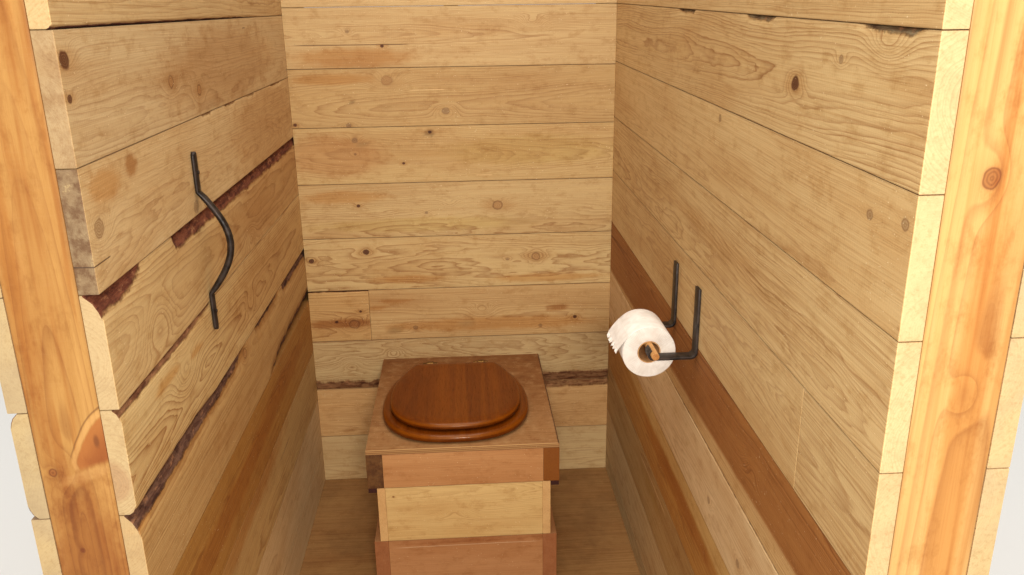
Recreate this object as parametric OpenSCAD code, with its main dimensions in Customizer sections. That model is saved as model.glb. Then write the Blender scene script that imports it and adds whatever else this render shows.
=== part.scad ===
// Open-fronted plank privy stall: a raised floor, three double-skinned walls
// on a timber frame, a boxed seat with a hinged lid, a forged grab handle and
// a paper roll on two forged straps. Sizes are in millimetres. Every piece is
// drawn from the foot of the back wall's inner face, in the middle of the
// stall, and then moved so that the origin is under the middle of the stall.

/* [Stall] */
// Width between the inner faces of the side walls
stall_w = 862; // [700:1:1200]
// Length of the left wall, from the back wall's inner face to its open end
left_wall_l = 1301; // [900:1:1500]
// Length of the right wall, measured the same way
right_wall_l = 1565; // [1000:1:1800]
// Height of the walls above the floor
wall_h = 1985; // [1800:1:2400]

/* [Timber] */
// Thickness of the rough wall planks
plank_t = 25; // [18:1:32]
// Narrow side of the framing timber
lumber_t = 38; // [30:1:50]
// Wide side of the framing timber
lumber_w = 89; // [70:1:120]
// Distance between the studs inside the walls
stud_pitch = 406; // [300:1:600]
// Gap between two courses of planks
seam_gap = 0.6; // [0.3:0.1:3]

/* [Plank courses] */
// Height of one course on the back wall
back_course_h = 152.6; // [120:0.1:200]
// Height of the lowest seam on the back wall
back_first_seam = 147.6; // [60:0.1:160]
// Height of one course on the left wall
left_course_h = 154.5; // [120:0.1:200]
// Height of the lowest seam on the left wall
left_first_seam = 114; // [60:1:160]
// Height of one course on the right wall
right_course_h = 145.5; // [120:0.1:200]
// Height of the lowest seam on the right wall, at its back end
right_first_seam = 60.5; // [50:0.5:140]
// How far the right wall's courses fall from the back end to the open end
right_fall = 26; // [0:1:40]
// Length of the short board beside the left wall, in the back wall's fourth course
short_board_l = 170; // [80:1:400]
// Length of the short board at the right wall's open end, in its seventh course
end_board_l = 200; // [80:1:600]

/* [Floor] */
// Thickness of the floor sheet
deck_t = 18; // [12:1:30]
// Number of joists under the floor
joist_count = 4; // [3:1:6]

/* [Seat box] */
// Width of the seat box across its upper side boards
box_w = 411; // [340:1:520]
// Distance of the seat box's middle from the middle of the stall
box_x = -4; // [-60:1:60]
// Depth of the seat box, from the back wall to its front
box_d = 541; // [480:1:640]
// Height of each of the box's two courses
box_course_h = 146; // [120:1:170]
// Thickness of the upper course's boards
upper_board_t = 19; // [15:1:25]
// Thickness of the lower course's boards
lower_board_t = 34; // [25:1:40]
// How far the top frame and the panel on it reach beyond each side of the box
panel_overhang = 21; // [15:1:60]
// Thickness of the panel
panel_t = 11; // [8:1:20]
// Width of the cleats under the side rails
cleat_w = 20; // [10:1:24]
// Height of the cleats
cleat_h = 11; // [8:1:20]

/* [Seat] */
// Distance of the seat's middle from the middle of the stall
seat_x = -20; // [-60:1:40]
// Distance from the back wall to the seat's widest place
seat_wide_y = 330; // [300:1:380]
// Width of the lid
lid_w = 328; // [280:1:380]
// Length of the lid in front of its widest place
lid_front_l = 176; // [150:1:200]
// Length of the lid behind its widest place
lid_back_l = 194; // [170:1:210]
// Radius of the long curves of the lid's sides
lid_side_r = 370; // [300:5:500]
// Radius of the lid's two back corners
lid_corner_r = 20; // [10:1:30]
// How far the seat ring shows beyond the lid
ring_reveal = 20; // [5:1:30]
// Thickness of the lid and of the ring
seat_t = 19; // [15:1:24]
// Width of the opening in the ring
hole_w = 216; // [180:1:240]
// Length of the opening in the ring
hole_l = 276; // [220:1:290]
// How much larger the opening in the panel is, on each side
panel_hole_extra = 12; // [4:1:20]
// Height of the rubber feet under the ring
ring_foot_h = 3; // [2:0.5:6]
// Height of the space between the ring and the lid
lid_gap = 3.5; // [3:0.5:6]
// Radius of the rubber feet
foot_r = 8; // [6:1:10]
// Distance of the ring's feet from the sides of the lid above them
ring_foot_in = 18; // [12:1:22]
// Distance of the ring's feet from its widest place, forwards and backwards
ring_foot_y = 112; // [90:1:120]
// Distance of the lid's feet from the lid's sides
lid_foot_in = 26; // [20:1:30]
// Distance of the lid's feet in front of its widest place
lid_foot_y = 90; // [60:1:100]

/* [Seat hinge] */
// Distance of the hinge pins from the back wall
hinge_y = 112; // [100:1:125]
// Distance between the two hinges
hinge_pitch = 140; // [110:1:160]
// Radius of the hinge pins
pin_r = 4; // [3:0.5:5]
// Width of each hinge post
hinge_post_w = 16; // [12:1:24]
// Depth of each hinge post
hinge_post_d = 20; // [16:1:22]
// Radius of the knuckles that turn on the pins
knuckle_r = 7; // [6:0.5:8]
// Length of each knuckle
knuckle_l = 12; // [8:1:20]
// Thickness of the hinge leaves
leaf_t = 2; // [1.5:0.5:2.5]
// Length of the hinge leaves, from the pin
leaf_l = 70; // [60:1:75]

/* [Grab handle] */
// Distance of the handle from the back wall
handle_y = 876; // [600:1:1100]
// Height of the handle's lower end above the floor
handle_z = 834; // [600:1:1100]
// Length of each flat end
handle_end_l = 66; // [40:1:90]
// Height of the bow between the flat ends
handle_bow_l = 179; // [120:1:260]
// How far the middle of the bow stands off the flat ends
handle_bow = 41; // [30:1:60]
// Width of the flat ends
handle_end_w = 15; // [10:1:24]
// Thickness of the flat ends
handle_end_t = 6; // [4:1:10]
// Width of the bar in the bow
handle_bar_w = 11; // [8:1:16]
// Thickness of the bar in the bow
handle_bar_t = 9.5; // [8:0.5:14]

/* [Paper holder] */
// Distance of the roll's middle from the back wall
roll_y = 812; // [500:1:1000]
// Height of the roll's middle above the floor
roll_z = 752; // [600:1:900]
// Distance of the rod from the right wall
rod_off = 80; // [65:1:100]
// Radius of the rod
rod_r = 7; // [5:0.5:9]
// Distance between the two straps
strap_pitch = 160; // [130:1:200]
// Width of the straps
strap_w = 25; // [15:1:30]
// Thickness of the straps
strap_t = 5; // [4:0.5:6]
// Height of the straps' upper ends above the floor
strap_top = 886; // [860:1:950]
// How far the rod reaches beyond the straps
rod_tail = 12; // [6:1:20]
// Outer radius of the paper roll
roll_r = 50; // [40:1:60]
// Width of the paper roll
roll_w = 100; // [90:1:115]
// Inner radius of the cardboard core
core_r = 20; // [18:0.5:24]
// Thickness of the cardboard core
core_t = 1.5; // [1:0.5:2]

/* [Clearances] */
// Clearance between curved pieces, or a seated piece and its seat
seat_clear = 0.3; // [0.2:0.05:0.5]
// Clearance between a pin and the knuckle that turns on it
pin_clear = 0.05; // [0.02:0.01:0.1]

/* [Hidden] */

half_w = stall_w / 2;
wall_t = lumber_w + 2 * plank_t;
outer_half_w = half_w + wall_t;
frame_back = plank_t + lumber_w;
floor_l = right_wall_l + wall_t;
mid_y = (wall_t - right_wall_l) / 2;
deck_top = lumber_w + deck_t;
stud_h = wall_h - 2 * lumber_t;

box_top = 2 * box_course_h;
panel_z = box_top + lumber_w;
panel_top = panel_z + panel_t;
panel_w = box_w + 2 * panel_overhang;
side_rail_x = panel_w / 2 - lumber_t;
upper_inner_x = box_w / 2 - upper_board_t;

ring_z = panel_top + ring_foot_h;
lid_z = ring_z + seat_t + lid_gap;
leaf_z = lid_z - leaf_t;
pin_z = leaf_z + leaf_t / 2;
lid_round = 16;
lid_round_h = 10;
ring_round = 12;
ring_round_h = 9;
edge_relief = 4;
hole_round = 9;
knuckle_bore_r = pin_r + pin_clear;
knuckle_gap = seat_clear;

strap_bend_r = 8;
rod_z = roll_z + core_r - rod_r - seat_clear;
hook_r = rod_r + seat_clear;
hook_end = 60;
outer_core_r = core_r + core_t;
cut = 1;

// Points on an arc, from angle a0 to a1, in steps
function arc(cx, cy, r, a0, a1, steps) =
    [for (i = [0 : steps]) let (a = a0 + (a1 - a0) * i / steps) [cx + r * cos(a), cy + r * sin(a)]];

// A number's sign times its size to a power
function signed_pow(v, p) = sign(v) * pow(abs(v), p);

// An outline fuller than an ellipse: half-width a, half-length b
function full_oval(a, b, fullness, a0, a1, steps) =
    [for (i = [0 : steps]) let (t = a0 + (a1 - a0) * i / steps)
        [a * signed_pow(cos(t), 2 / fullness), b * signed_pow(sin(t), 2 / fullness)]];

// Outline of the seat's slab, seen from above with its widest place at y = 0.
// grow moves the sides and the front outwards, and grow_back the back edge.
function seat_outline(grow, grow_back) =
    let (
        w = lid_w / 2 + grow,
        side_r = lid_side_r + grow,
        back_l = lid_back_l + grow_back,
        corner_r = max(lid_corner_r + grow, 2),
        turn = asin((back_l - corner_r) / (side_r - corner_r)),
        corner_x = w - side_r + (side_r - corner_r) * cos(turn),
        corner_y = back_l - corner_r,
        right = concat(arc(w - side_r, 0, side_r, 0, turn, 8),
                       arc(corner_x, corner_y, corner_r, turn, 90, 5)),
        left = [for (i = [len(right) - 1 : -1 : 0]) [-right[i][0], right[i][1]]],
        front = full_oval(w, lid_front_l + grow, 2.5, 180, 360, 28)
    )
    concat(right, left, [for (i = [1 : len(front) - 2]) front[i]]);

function hole_outline(grow) = full_oval(hole_w / 2 + grow, hole_l / 2 + grow, 2.2, 0, 350, 35);

module at_floor() { translate([0, -mid_y, deck_top]) children(); }

module at_box() { translate([box_x, 0, 0]) children(); }

module at_seat() { translate([seat_x, -seat_wide_y, 0]) children(); }

// One slab of timber between two corners
module timber(low, high) { translate(low) cube(high - low); }

// One board of a skin, from x0 to x1. Its lower and upper edges start at low
// and high at x = 0 and fall by low_slope and high_slope for each millimetre.
module board(x0, x1, low, high, low_slope, high_slope) {
    translate([0, plank_t, 0]) rotate([90, 0, 0]) linear_extrude(plank_t)
        polygon([[x0, low - low_slope * x0], [x1, low - low_slope * x1],
                 [x1, high - high_slope * x1], [x0, high - high_slope * x0]]);
}

// A skin of level or falling planks, laid along +X and standing on z = 0,
// with its thickness towards +Y. The board in course butt_course is cut at butt_x.
module plank_skin(length, first_seam, course_h, fall, butt_course = -1, butt_x = 0) {
    courses = 1 + ceil((wall_h - fall - first_seam) / course_h - 0.25);
    slope = fall / length;
    for (k = [0 : courses - 1]) {
        low = k == 0 ? 0 : first_seam + (k - 1) * course_h + seam_gap;
        high = k == courses - 1 ? wall_h : first_seam + k * course_h;
        low_slope = k == 0 ? 0 : slope;
        high_slope = k == courses - 1 ? 0 : slope;
        if (k == butt_course) {
            board(0, butt_x - seam_gap, low, high, low_slope, high_slope);
            board(butt_x, length, low, high, low_slope, high_slope);
        } else
            board(0, length, low, high, low_slope, high_slope);
    }
}

// A side wall's inner or outer skin, from the back end at y = back to the open end.
// The board in course butt_course is cut at end_l from the open end.
module side_skin(side, inner, length, back, first_seam, course_h, fall, butt_course = -1, end_l = 0) {
    x = side * (half_w + (inner ? 0 : plank_t + lumber_w));
    translate([side > 0 ? x : x - plank_t, back, 0]) rotate([0, 0, -90])
        plank_skin(length + back, first_seam, course_h, fall, butt_course, length + back - end_l);
}

// A plate lying in a side wall's frame at height z
module side_plate(side, length, z) {
    x = half_w + plank_t;
    timber([side > 0 ? x : -x - lumber_w, -length, z],
           [side > 0 ? x + lumber_w : -x, frame_back, z + lumber_t]);
}

// A stud in a side wall's frame, with its near face at y
module side_stud(side, y) {
    x = half_w + plank_t;
    timber([side > 0 ? x : -x - lumber_w, y, lumber_t],
           [side > 0 ? x + lumber_w : -x, y + lumber_t, lumber_t + stud_h]);
}

// The studs behind the post, counted back from it, and one at the back corner
module side_studs(side, length) {
    for (y = [-length + stud_pitch : stud_pitch : frame_back - 2.5 * lumber_t]) side_stud(side, y);
    side_stud(side, frame_back - lumber_t);
}

module back_plate(z) {
    timber([-half_w, plank_t, z], [half_w, frame_back, z + lumber_t]);
}

module left_sole_plate() { color("peru") at_floor() side_plate(-1, left_wall_l, 0); }
module left_top_plate() { color("peru") at_floor() side_plate(-1, left_wall_l, wall_h - lumber_t); }
module left_post() { color("sandybrown") at_floor() side_stud(-1, -left_wall_l); }
module left_studs() { color("peru") at_floor() side_studs(-1, left_wall_l); }

module left_inner_planks() {
    color("tan") at_floor()
        side_skin(-1, true, left_wall_l, frame_back, left_first_seam, left_course_h, 0);
}

module left_outer_planks() {
    color("burlywood") at_floor()
        side_skin(-1, false, left_wall_l, frame_back, left_first_seam, left_course_h, 0);
}

module right_sole_plate() { color("peru") at_floor() side_plate(1, right_wall_l, 0); }
module right_top_plate() { color("peru") at_floor() side_plate(1, right_wall_l, wall_h - lumber_t); }
module right_post() { color("sandybrown") at_floor() side_stud(1, -right_wall_l); }
module right_studs() { color("peru") at_floor() side_studs(1, right_wall_l); }

module right_inner_planks() {
    color("wheat") at_floor()
        side_skin(1, true, right_wall_l, frame_back, right_first_seam, right_course_h, right_fall,
                  6, end_board_l);
}

module right_outer_planks() {
    color("burlywood") at_floor()
        side_skin(1, false, right_wall_l, frame_back, right_first_seam, right_course_h, right_fall);
}

module back_sole_plate() { color("peru") at_floor() back_plate(0); }
module back_top_plate() { color("peru") at_floor() back_plate(wall_h - lumber_t); }

module back_studs() {
    color("peru") at_floor()
        for (x = [-half_w : (stall_w - lumber_t) / 2 : half_w])
            timber([x, plank_t, lumber_t], [x + lumber_t, frame_back, lumber_t + stud_h]);
}

module back_inner_planks() {
    color("burlywood") at_floor() translate([-half_w, 0, 0])
        plank_skin(stall_w, back_first_seam, back_course_h, 0, 3, short_board_l);
}

module back_outer_planks() {
    color("burlywood") at_floor() translate([-outer_half_w, frame_back, 0])
        plank_skin(2 * outer_half_w, back_first_seam, back_course_h, 0);
}

module floor_deck() {
    color("rosybrown") at_floor()
        timber([-outer_half_w, -right_wall_l, -deck_t], [outer_half_w, wall_t, 0]);
}

module floor_rims() {
    color("peru") at_floor()
        for (y = [-right_wall_l, wall_t - lumber_t])
            timber([-outer_half_w, y, -deck_top], [outer_half_w, y + lumber_t, -deck_t]);
}

module floor_joists() {
    color("peru") at_floor()
        for (i = [0 : joist_count - 1]) {
            x = -outer_half_w + i * (2 * outer_half_w - lumber_t) / (joist_count - 1);
            timber([x, -right_wall_l + lumber_t, -deck_top], [x + lumber_t, wall_t - lumber_t, -deck_t]);
        }
}

// A side board of the seat box, its inner face flush with the course above or below
module box_side(side, z, board_t) {
    x = side > 0 ? upper_inner_x : -upper_inner_x - board_t;
    timber([x, -box_d, z], [x + board_t, 0, z + box_course_h]);
}

module box_front(z, board_t) {
    timber([-upper_inner_x, -box_d, z], [upper_inner_x, -box_d + board_t, z + box_course_h]);
}

module box_lower_front() { color("chocolate") at_floor() at_box() box_front(0, lower_board_t); }
module box_lower_left() { color("sienna") at_floor() at_box() box_side(-1, 0, lower_board_t); }
module box_lower_right() { color("sienna") at_floor() at_box() box_side(1, 0, lower_board_t); }
module box_upper_front() { color("burlywood") at_floor() at_box() box_front(box_course_h, upper_board_t); }
module box_upper_left() { color("tan") at_floor() at_box() box_side(-1, box_course_h, upper_board_t); }
module box_upper_right() { color("tan") at_floor() at_box() box_side(1, box_course_h, upper_board_t); }

module side_rail(side) {
    x = side > 0 ? side_rail_x : -side_rail_x - lumber_t;
    timber([x, -box_d, box_top], [x + lumber_t, 0, panel_z]);
}

module cross_rail(y) {
    timber([-side_rail_x, y, box_top], [side_rail_x, y + lumber_t, panel_z]);
}

module rail_left() { color("saddlebrown") at_floor() at_box() side_rail(-1); }
module rail_right() { color("peru") at_floor() at_box() side_rail(1); }
module rail_front() { color("peru") at_floor() at_box() cross_rail(-box_d); }
module rail_back() { color("peru") at_floor() at_box() cross_rail(-lumber_t); }

module seat_cleats() {
    color("maroon") at_floor() at_box()
        for (side = [-1, 1]) {
            x = side > 0 ? box_w / 2 : -box_w / 2 - cleat_w;
            timber([x, -box_d, box_top - cleat_h], [x + cleat_w, 0, box_top]);
        }
}

module seat_panel() {
    color("tan") at_floor() difference() {
        at_box() timber([-panel_w / 2, -box_d, panel_z], [panel_w / 2, 0, panel_top]);
        at_seat() translate([0, 0, panel_z - cut])
            linear_extrude(panel_t + 2 * cut) polygon(hole_outline(panel_hole_extra));
    }
}

// A slab on the seat's outline whose top edge is rolled over a quarter of an oval
module rolled_slab(grow, grow_back, round_w, round_h) {
    hull() {
        linear_extrude(cut) polygon(seat_outline(grow - edge_relief, grow_back - edge_relief));
        translate([0, 0, edge_relief]) linear_extrude(seat_t - round_h - edge_relief)
            polygon(seat_outline(grow, grow_back));
        for (a = [18 : 18 : 90]) {
            inset = round_w * (1 - cos(a));
            translate([0, 0, seat_t - round_h + round_h * sin(a) - 0.01])
                linear_extrude(0.01) polygon(seat_outline(grow - inset, grow_back - inset));
        }
    }
}

module seat_ring() {
    color("saddlebrown") at_floor() at_seat() translate([0, 0, ring_z]) difference() {
        rolled_slab(ring_reveal, 0, ring_round, ring_round_h);
        translate([0, 0, -cut]) linear_extrude(seat_t + 2 * cut) polygon(hole_outline(0));
        hull() {
            translate([0, 0, seat_t - hole_round]) linear_extrude(0.01) polygon(hole_outline(0));
            translate([0, 0, seat_t - hole_round / 2]) linear_extrude(0.01)
                polygon(hole_outline(hole_round / 4));
            translate([0, 0, seat_t]) linear_extrude(cut) polygon(hole_outline(hole_round));
        }
    }
}

module seat_lid() {
    color("saddlebrown") at_floor() at_seat() translate([0, 0, lid_z])
        rolled_slab(0, 0, lid_round, lid_round_h);
}

module ring_feet() {
    color("dimgray") at_floor() at_seat()
        for (side = [-1, 1]) for (y = [-ring_foot_y, ring_foot_y])
            translate([side * (lid_w / 2 - ring_foot_in), y, panel_top])
                cylinder(r = foot_r, h = ring_foot_h);
}

module lid_feet() {
    color("dimgray") at_floor() at_seat()
        for (side = [-1, 1])
            translate([side * (lid_w / 2 - lid_foot_in), -lid_foot_y, lid_z - lid_gap + seat_clear])
                cylinder(r = foot_r, h = lid_gap - seat_clear);
}

// Places its children at each hinge, at the height of the pins. Each child is
// drawn for the right-hand hinge and mirrored for the left-hand one.
module at_hinges() {
    translate([seat_x, -hinge_y, pin_z])
        for (side = [-1, 1]) translate([side * hinge_pitch / 2, 0, 0]) mirror([side < 0 ? 1 : 0, 0, 0])
            children();
}

module hinge_posts() {
    pin_l = hinge_post_w + 2 * (knuckle_l + knuckle_gap);
    color("darkgoldenrod") at_floor() at_hinges() {
        translate([-hinge_post_w / 2, -hinge_post_d / 2, panel_top - pin_z])
            cube([hinge_post_w, hinge_post_d, pin_z - panel_top]);
        translate([-hinge_post_w / 2, 0, 0]) rotate([0, 90, 0])
            cylinder(r = hinge_post_d / 2, h = hinge_post_w);
        translate([-pin_l / 2, 0, 0]) rotate([0, 90, 0]) cylinder(r = pin_r, h = pin_l);
    }
}

// A hinge leaf: a knuckle on the pin and a flat plate that runs forward from
// it, at the knuckle's own height or at the foot of an upright web
module hinge_leaf(x, plate_low) {
    difference() {
        union() {
            translate([x, 0, 0]) rotate([0, 90, 0]) cylinder(r = knuckle_r, h = knuckle_l);
            translate([x, -leaf_l, plate_low]) cube([knuckle_l, leaf_l - knuckle_r + leaf_t, leaf_t]);
            translate([x, -knuckle_r, plate_low]) cube([knuckle_l, leaf_t, -plate_low]);
        }
        translate([x - cut, 0, 0]) rotate([0, 90, 0])
            cylinder(r = knuckle_bore_r, h = knuckle_l + 2 * cut);
    }
}

module lid_leaves() {
    color("darkgoldenrod") at_floor() at_hinges()
        hinge_leaf(hinge_post_w / 2 + knuckle_gap, leaf_z - pin_z);
}

module ring_leaves() {
    color("darkgoldenrod") at_floor() at_hinges()
        hinge_leaf(-hinge_post_w / 2 - knuckle_gap - knuckle_l, ring_z - leaf_t - pin_z);
}

// The handle's bar is swept up the wall. At a height z above its lower end it
// stands bar_out off the wall, and its two ends are rounded over end_round.
handle_h = 2 * handle_end_l + handle_bow_l;
end_round = handle_end_w / 2;
end_tip = 0.25;
function bow_share(z) = max(0, min(1, (z - handle_end_l) / handle_bow_l));
function bar_out(z) = handle_bow * sin(180 * bow_share(z));
function bar_turn(z) = atan2(bar_out(z + 1) - bar_out(z - 1), 2);
function in_bow(z) = pow(sin(180 * bow_share(z)), 0.35);
function end_factor(z) =
    let (from_end = min(1, min(z, handle_h - z) / end_round))
    max(end_tip, sqrt(1 - pow(1 - from_end, 2)));

module grab_handle() {
    sides = 12;
    end_levels = concat([for (share = [0, 0.13, 0.4, 0.67, 1]) share * end_round],
                        [for (share = [0.3 : 0.2 : 0.9]) share * handle_end_l]);
    levels = concat(end_levels,
                    [for (i = [0 : 18]) handle_end_l + handle_bow_l * i / 18],
                    [for (i = [len(end_levels) - 1 : -1 : 0]) handle_h - end_levels[i]]);
    rings = [for (z = levels)
        let (
            half_bar_w = (handle_end_w + (handle_bar_w - handle_end_w) * in_bow(z)) / 2 * end_factor(z),
            half_bar_t = (handle_end_t + (handle_bar_t - handle_end_t) * in_bow(z)) / 2,
            out = half_bar_t + bar_out(z) + seat_clear,
            turn = bar_turn(z)
        )
        [for (i = [0 : sides - 1]) let (a = 360 * i / sides, across = half_bar_t * sin(a))
            [out + across * cos(turn), half_bar_w * cos(a), z - across * sin(turn)]]];
    points = [for (ring = rings) for (p = ring) p];
    last = (len(levels) - 1) * sides;
    faces = concat(
        [[for (i = [0 : sides - 1]) i]],
        [for (k = [0 : len(levels) - 2]) for (i = [0 : sides - 1])
            let (a = k * sides + i, b = k * sides + (i + 1) % sides) [a, a + sides, b + sides, b]],
        [[for (i = [sides - 1 : -1 : 0]) last + i]]);
    color("dimgray") at_floor() translate([-half_w, -handle_y, handle_z])
        polyhedron(points = points, faces = faces, convexity = 4);
}

// A forged strap seen along the wall: down the wall, round a bend, out and up into a hook
module holder_strap(y) {
    arm_low = rod_z - hook_r - strap_t;
    bend_x = strap_t + strap_bend_r;
    bend_z = rod_z - hook_r + strap_bend_r;
    outline = concat(
        [[0, strap_top], [0, bend_z]],
        arc(bend_x, bend_z, strap_bend_r + strap_t, 180, 270, 6),
        arc(rod_off, rod_z, hook_r + strap_t, 270, 360 + hook_end, 12),
        arc(rod_off, rod_z, hook_r, 360 + hook_end, 270, 12),
        arc(bend_x, bend_z, strap_bend_r, 270, 180, 6),
        [[strap_t, strap_top]]);
    color("dimgray") at_floor() translate([half_w, y + strap_w / 2, 0]) mirror([1, 0, 0])
        rotate([90, 0, 0]) linear_extrude(strap_w) polygon(outline);
}

module holder_strap_near() { holder_strap(-roll_y - strap_pitch / 2); }
module holder_strap_far() { holder_strap(-roll_y + strap_pitch / 2); }

// A round bar or tube lying along Y, with its middle at the roll's middle
module along_roll(x, z, length) {
    at_floor() translate([x, -roll_y + length / 2, z]) rotate([90, 0, 0]) children();
}

module holder_rod() {
    rod_l = strap_pitch + strap_w + 2 * rod_tail;
    color("saddlebrown") along_roll(half_w - rod_off, rod_z, rod_l) cylinder(r = rod_r, h = rod_l);
}

module paper_roll() {
    color("white") along_roll(half_w - rod_off, roll_z, roll_w) difference() {
        cylinder(r = roll_r, h = roll_w);
        translate([0, 0, -cut]) cylinder(r = outer_core_r + seat_clear / 2, h = roll_w + 2 * cut);
    }
}

module roll_core() {
    color("tan") along_roll(half_w - rod_off, roll_z, roll_w) difference() {
        cylinder(r = outer_core_r, h = roll_w);
        translate([0, 0, -cut]) cylinder(r = core_r, h = roll_w + 2 * cut);
    }
}

floor_joists();
floor_rims();
floor_deck();
left_sole_plate();
left_top_plate();
left_post();
left_studs();
left_inner_planks();
left_outer_planks();
back_sole_plate();
back_top_plate();
back_studs();
back_inner_planks();
back_outer_planks();
right_sole_plate();
right_top_plate();
right_post();
right_studs();
right_inner_planks();
right_outer_planks();
box_lower_front();
box_lower_left();
box_lower_right();
box_upper_front();
box_upper_left();
box_upper_right();
rail_front();
rail_back();
rail_left();
rail_right();
seat_cleats();
seat_panel();
seat_ring();
ring_feet();
hinge_posts();
ring_leaves();
seat_lid();
lid_leaves();
lid_feet();
grab_handle();
holder_strap_near();
holder_strap_far();
holder_rod();
paper_roll();
roll_core();
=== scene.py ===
# %% [markdown]
# # An open plank stall
# The object is a rough timber privy stall: three double-skinned plank walls on a raised
# floor, a boxed seat with a hinged lid, a forged grab handle and a paper roll on two
# straps. The imported model already holds every piece at its real size. This lesson gives
# those pieces their looks: sawn edges, waney edges with bark, knots, grain, wear, and
# some painted highlights and shade.

# %% Load the frame
import math
import random
from collections import namedtuple
from contextlib import contextmanager
from functools import cache

import bpy
import numpy as np
from mathutils import Matrix, Vector


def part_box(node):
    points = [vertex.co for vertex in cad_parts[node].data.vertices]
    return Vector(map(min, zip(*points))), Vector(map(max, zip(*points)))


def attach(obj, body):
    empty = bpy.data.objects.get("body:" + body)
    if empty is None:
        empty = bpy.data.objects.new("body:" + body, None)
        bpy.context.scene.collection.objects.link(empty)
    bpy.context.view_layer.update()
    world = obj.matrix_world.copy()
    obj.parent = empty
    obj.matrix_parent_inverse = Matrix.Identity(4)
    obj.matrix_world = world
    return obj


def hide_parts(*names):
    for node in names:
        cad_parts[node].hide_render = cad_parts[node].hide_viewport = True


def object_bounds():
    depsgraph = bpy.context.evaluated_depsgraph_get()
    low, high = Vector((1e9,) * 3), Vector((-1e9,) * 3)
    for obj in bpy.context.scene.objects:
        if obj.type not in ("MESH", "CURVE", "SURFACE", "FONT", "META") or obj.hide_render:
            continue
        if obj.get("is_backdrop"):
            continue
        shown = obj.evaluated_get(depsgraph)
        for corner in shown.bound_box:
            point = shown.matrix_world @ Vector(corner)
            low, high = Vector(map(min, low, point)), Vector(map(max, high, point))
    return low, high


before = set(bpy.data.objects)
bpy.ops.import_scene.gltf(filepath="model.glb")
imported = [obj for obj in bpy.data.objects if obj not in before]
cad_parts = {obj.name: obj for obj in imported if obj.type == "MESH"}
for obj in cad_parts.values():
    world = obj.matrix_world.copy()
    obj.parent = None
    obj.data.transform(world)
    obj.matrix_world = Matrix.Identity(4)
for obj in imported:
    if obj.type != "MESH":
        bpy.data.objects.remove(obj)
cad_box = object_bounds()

scene = bpy.context.scene
print("CAD box", [[round(v, 3) for v in corner] for corner in cad_box])

# %% [markdown]
# ## Camera
# The camera stands in the open front of the stall at the height of a grown person's
# chin and looks down at the seat. Three turns give its direction: a turn to the right,
# a tilt downwards, and a small lean of the hand that held it.

# %% Camera
CAMERA_AT = (0.0123, -1.5944, 1.4776)
CAMERA_LENS = 29.885
TURN_RIGHT = math.radians(3.351)
TILT_DOWN = math.radians(18.447)
LEAN = math.radians(-0.783)

camera_data = bpy.data.cameras.new("camera")
camera_data.lens = CAMERA_LENS
camera_data.sensor_width = 36
camera_data.clip_start = 0.02
camera = bpy.data.objects.new("camera", camera_data)
scene.collection.objects.link(camera)
turned = Matrix.Rotation(-TURN_RIGHT, 4, "Z")
tilted = Matrix.Rotation(math.pi / 2 - TILT_DOWN, 4, "X")
leant = Matrix.Rotation(LEAN, 4, "Z")
camera.matrix_world = Matrix.Translation(CAMERA_AT) @ turned @ tilted @ leant
scene.camera = camera
scene.view_settings.view_transform = "Standard"
print("camera at", CAMERA_AT)

# %% [markdown]
# ## Small helpers
# An operator acts on all that is selected, so each step starts from an empty selection,
# goes into edit mode and comes back out. Colours are written as they look on a screen,
# from 0 to 255, and turned into the linear values that a shader wants.


# %% Colours and selection
def paint(red, green, blue):
    shares = [c / 255 for c in (red, green, blue)]
    return (*[((c + 0.055) / 1.055) ** 2.4 if c > 0.04 else c / 12.92 for c in shares], 1.0)


def activate(piece):
    bpy.ops.object.select_all(action="DESELECT")
    piece.select_set(True)
    bpy.context.view_layer.objects.active = piece


@contextmanager
def editing(piece, what=None, whole=True):
    """Edit mode on one piece, with all of it selected or only what was picked before."""
    activate(piece)
    bpy.ops.object.mode_set(mode="EDIT")
    if what:
        bpy.ops.mesh.select_mode(type=what)
    if whole:
        bpy.ops.mesh.select_all(action="SELECT")
    yield
    bpy.ops.object.mode_set(mode="OBJECT")


def select_none(piece, what="EDGE"):
    """Clears the selection, so that a loop over the mesh can pick what it needs."""
    with editing(piece, what):
        bpy.ops.mesh.select_all(action="DESELECT")


def apply_all(piece):
    activate(piece)
    for modifier in list(piece.modifiers):
        bpy.ops.object.modifier_apply(modifier=modifier.name)


def smooth_up_to(degrees):
    bpy.ops.object.shade_smooth_by_angle(angle=math.radians(degrees))


print("a mid tan is", [round(c, 3) for c in paint(205, 165, 110)])


# %% [markdown]
# ## Building a node tree in code
# A material is a graph. A Value here is one output of a node, and a sum or a product of
# values adds the Math node that works it out, so that a material reads like arithmetic.
# A value that goes into a socket is linked, and a plain number is written into it.


# %% Values
class Value:
    """One output of a node, with arithmetic that adds further nodes."""

    def __init__(self, socket):
        self.socket = socket
        self.tree = socket.id_data

    def __add__(self, other):
        return calc("ADD", self, other)

    def __sub__(self, other):
        return calc("SUBTRACT", self, other)

    def __rsub__(self, other):
        return calc("SUBTRACT", other, self)

    def __mul__(self, other):
        return calc("MULTIPLY", self, other)

    def __truediv__(self, other):
        return calc("DIVIDE", self, other)

    def __pow__(self, other):
        return calc("POWER", self, other)

    def __abs__(self):
        return calc("ABSOLUTE", self)


class Outputs:
    """The outputs of a node, each given as a Value by its name or number."""

    def __init__(self, sockets):
        self.sockets = sockets

    def __getitem__(self, name):
        return Value(self.sockets[name])


def wire(sockets, values):
    """Links each value to its socket, or writes a plain number or colour into it."""
    for name, value in values.items():
        if isinstance(value, Value):
            value.tree.links.new(value.socket, sockets[name])
        else:
            sockets[name].default_value = value


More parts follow.
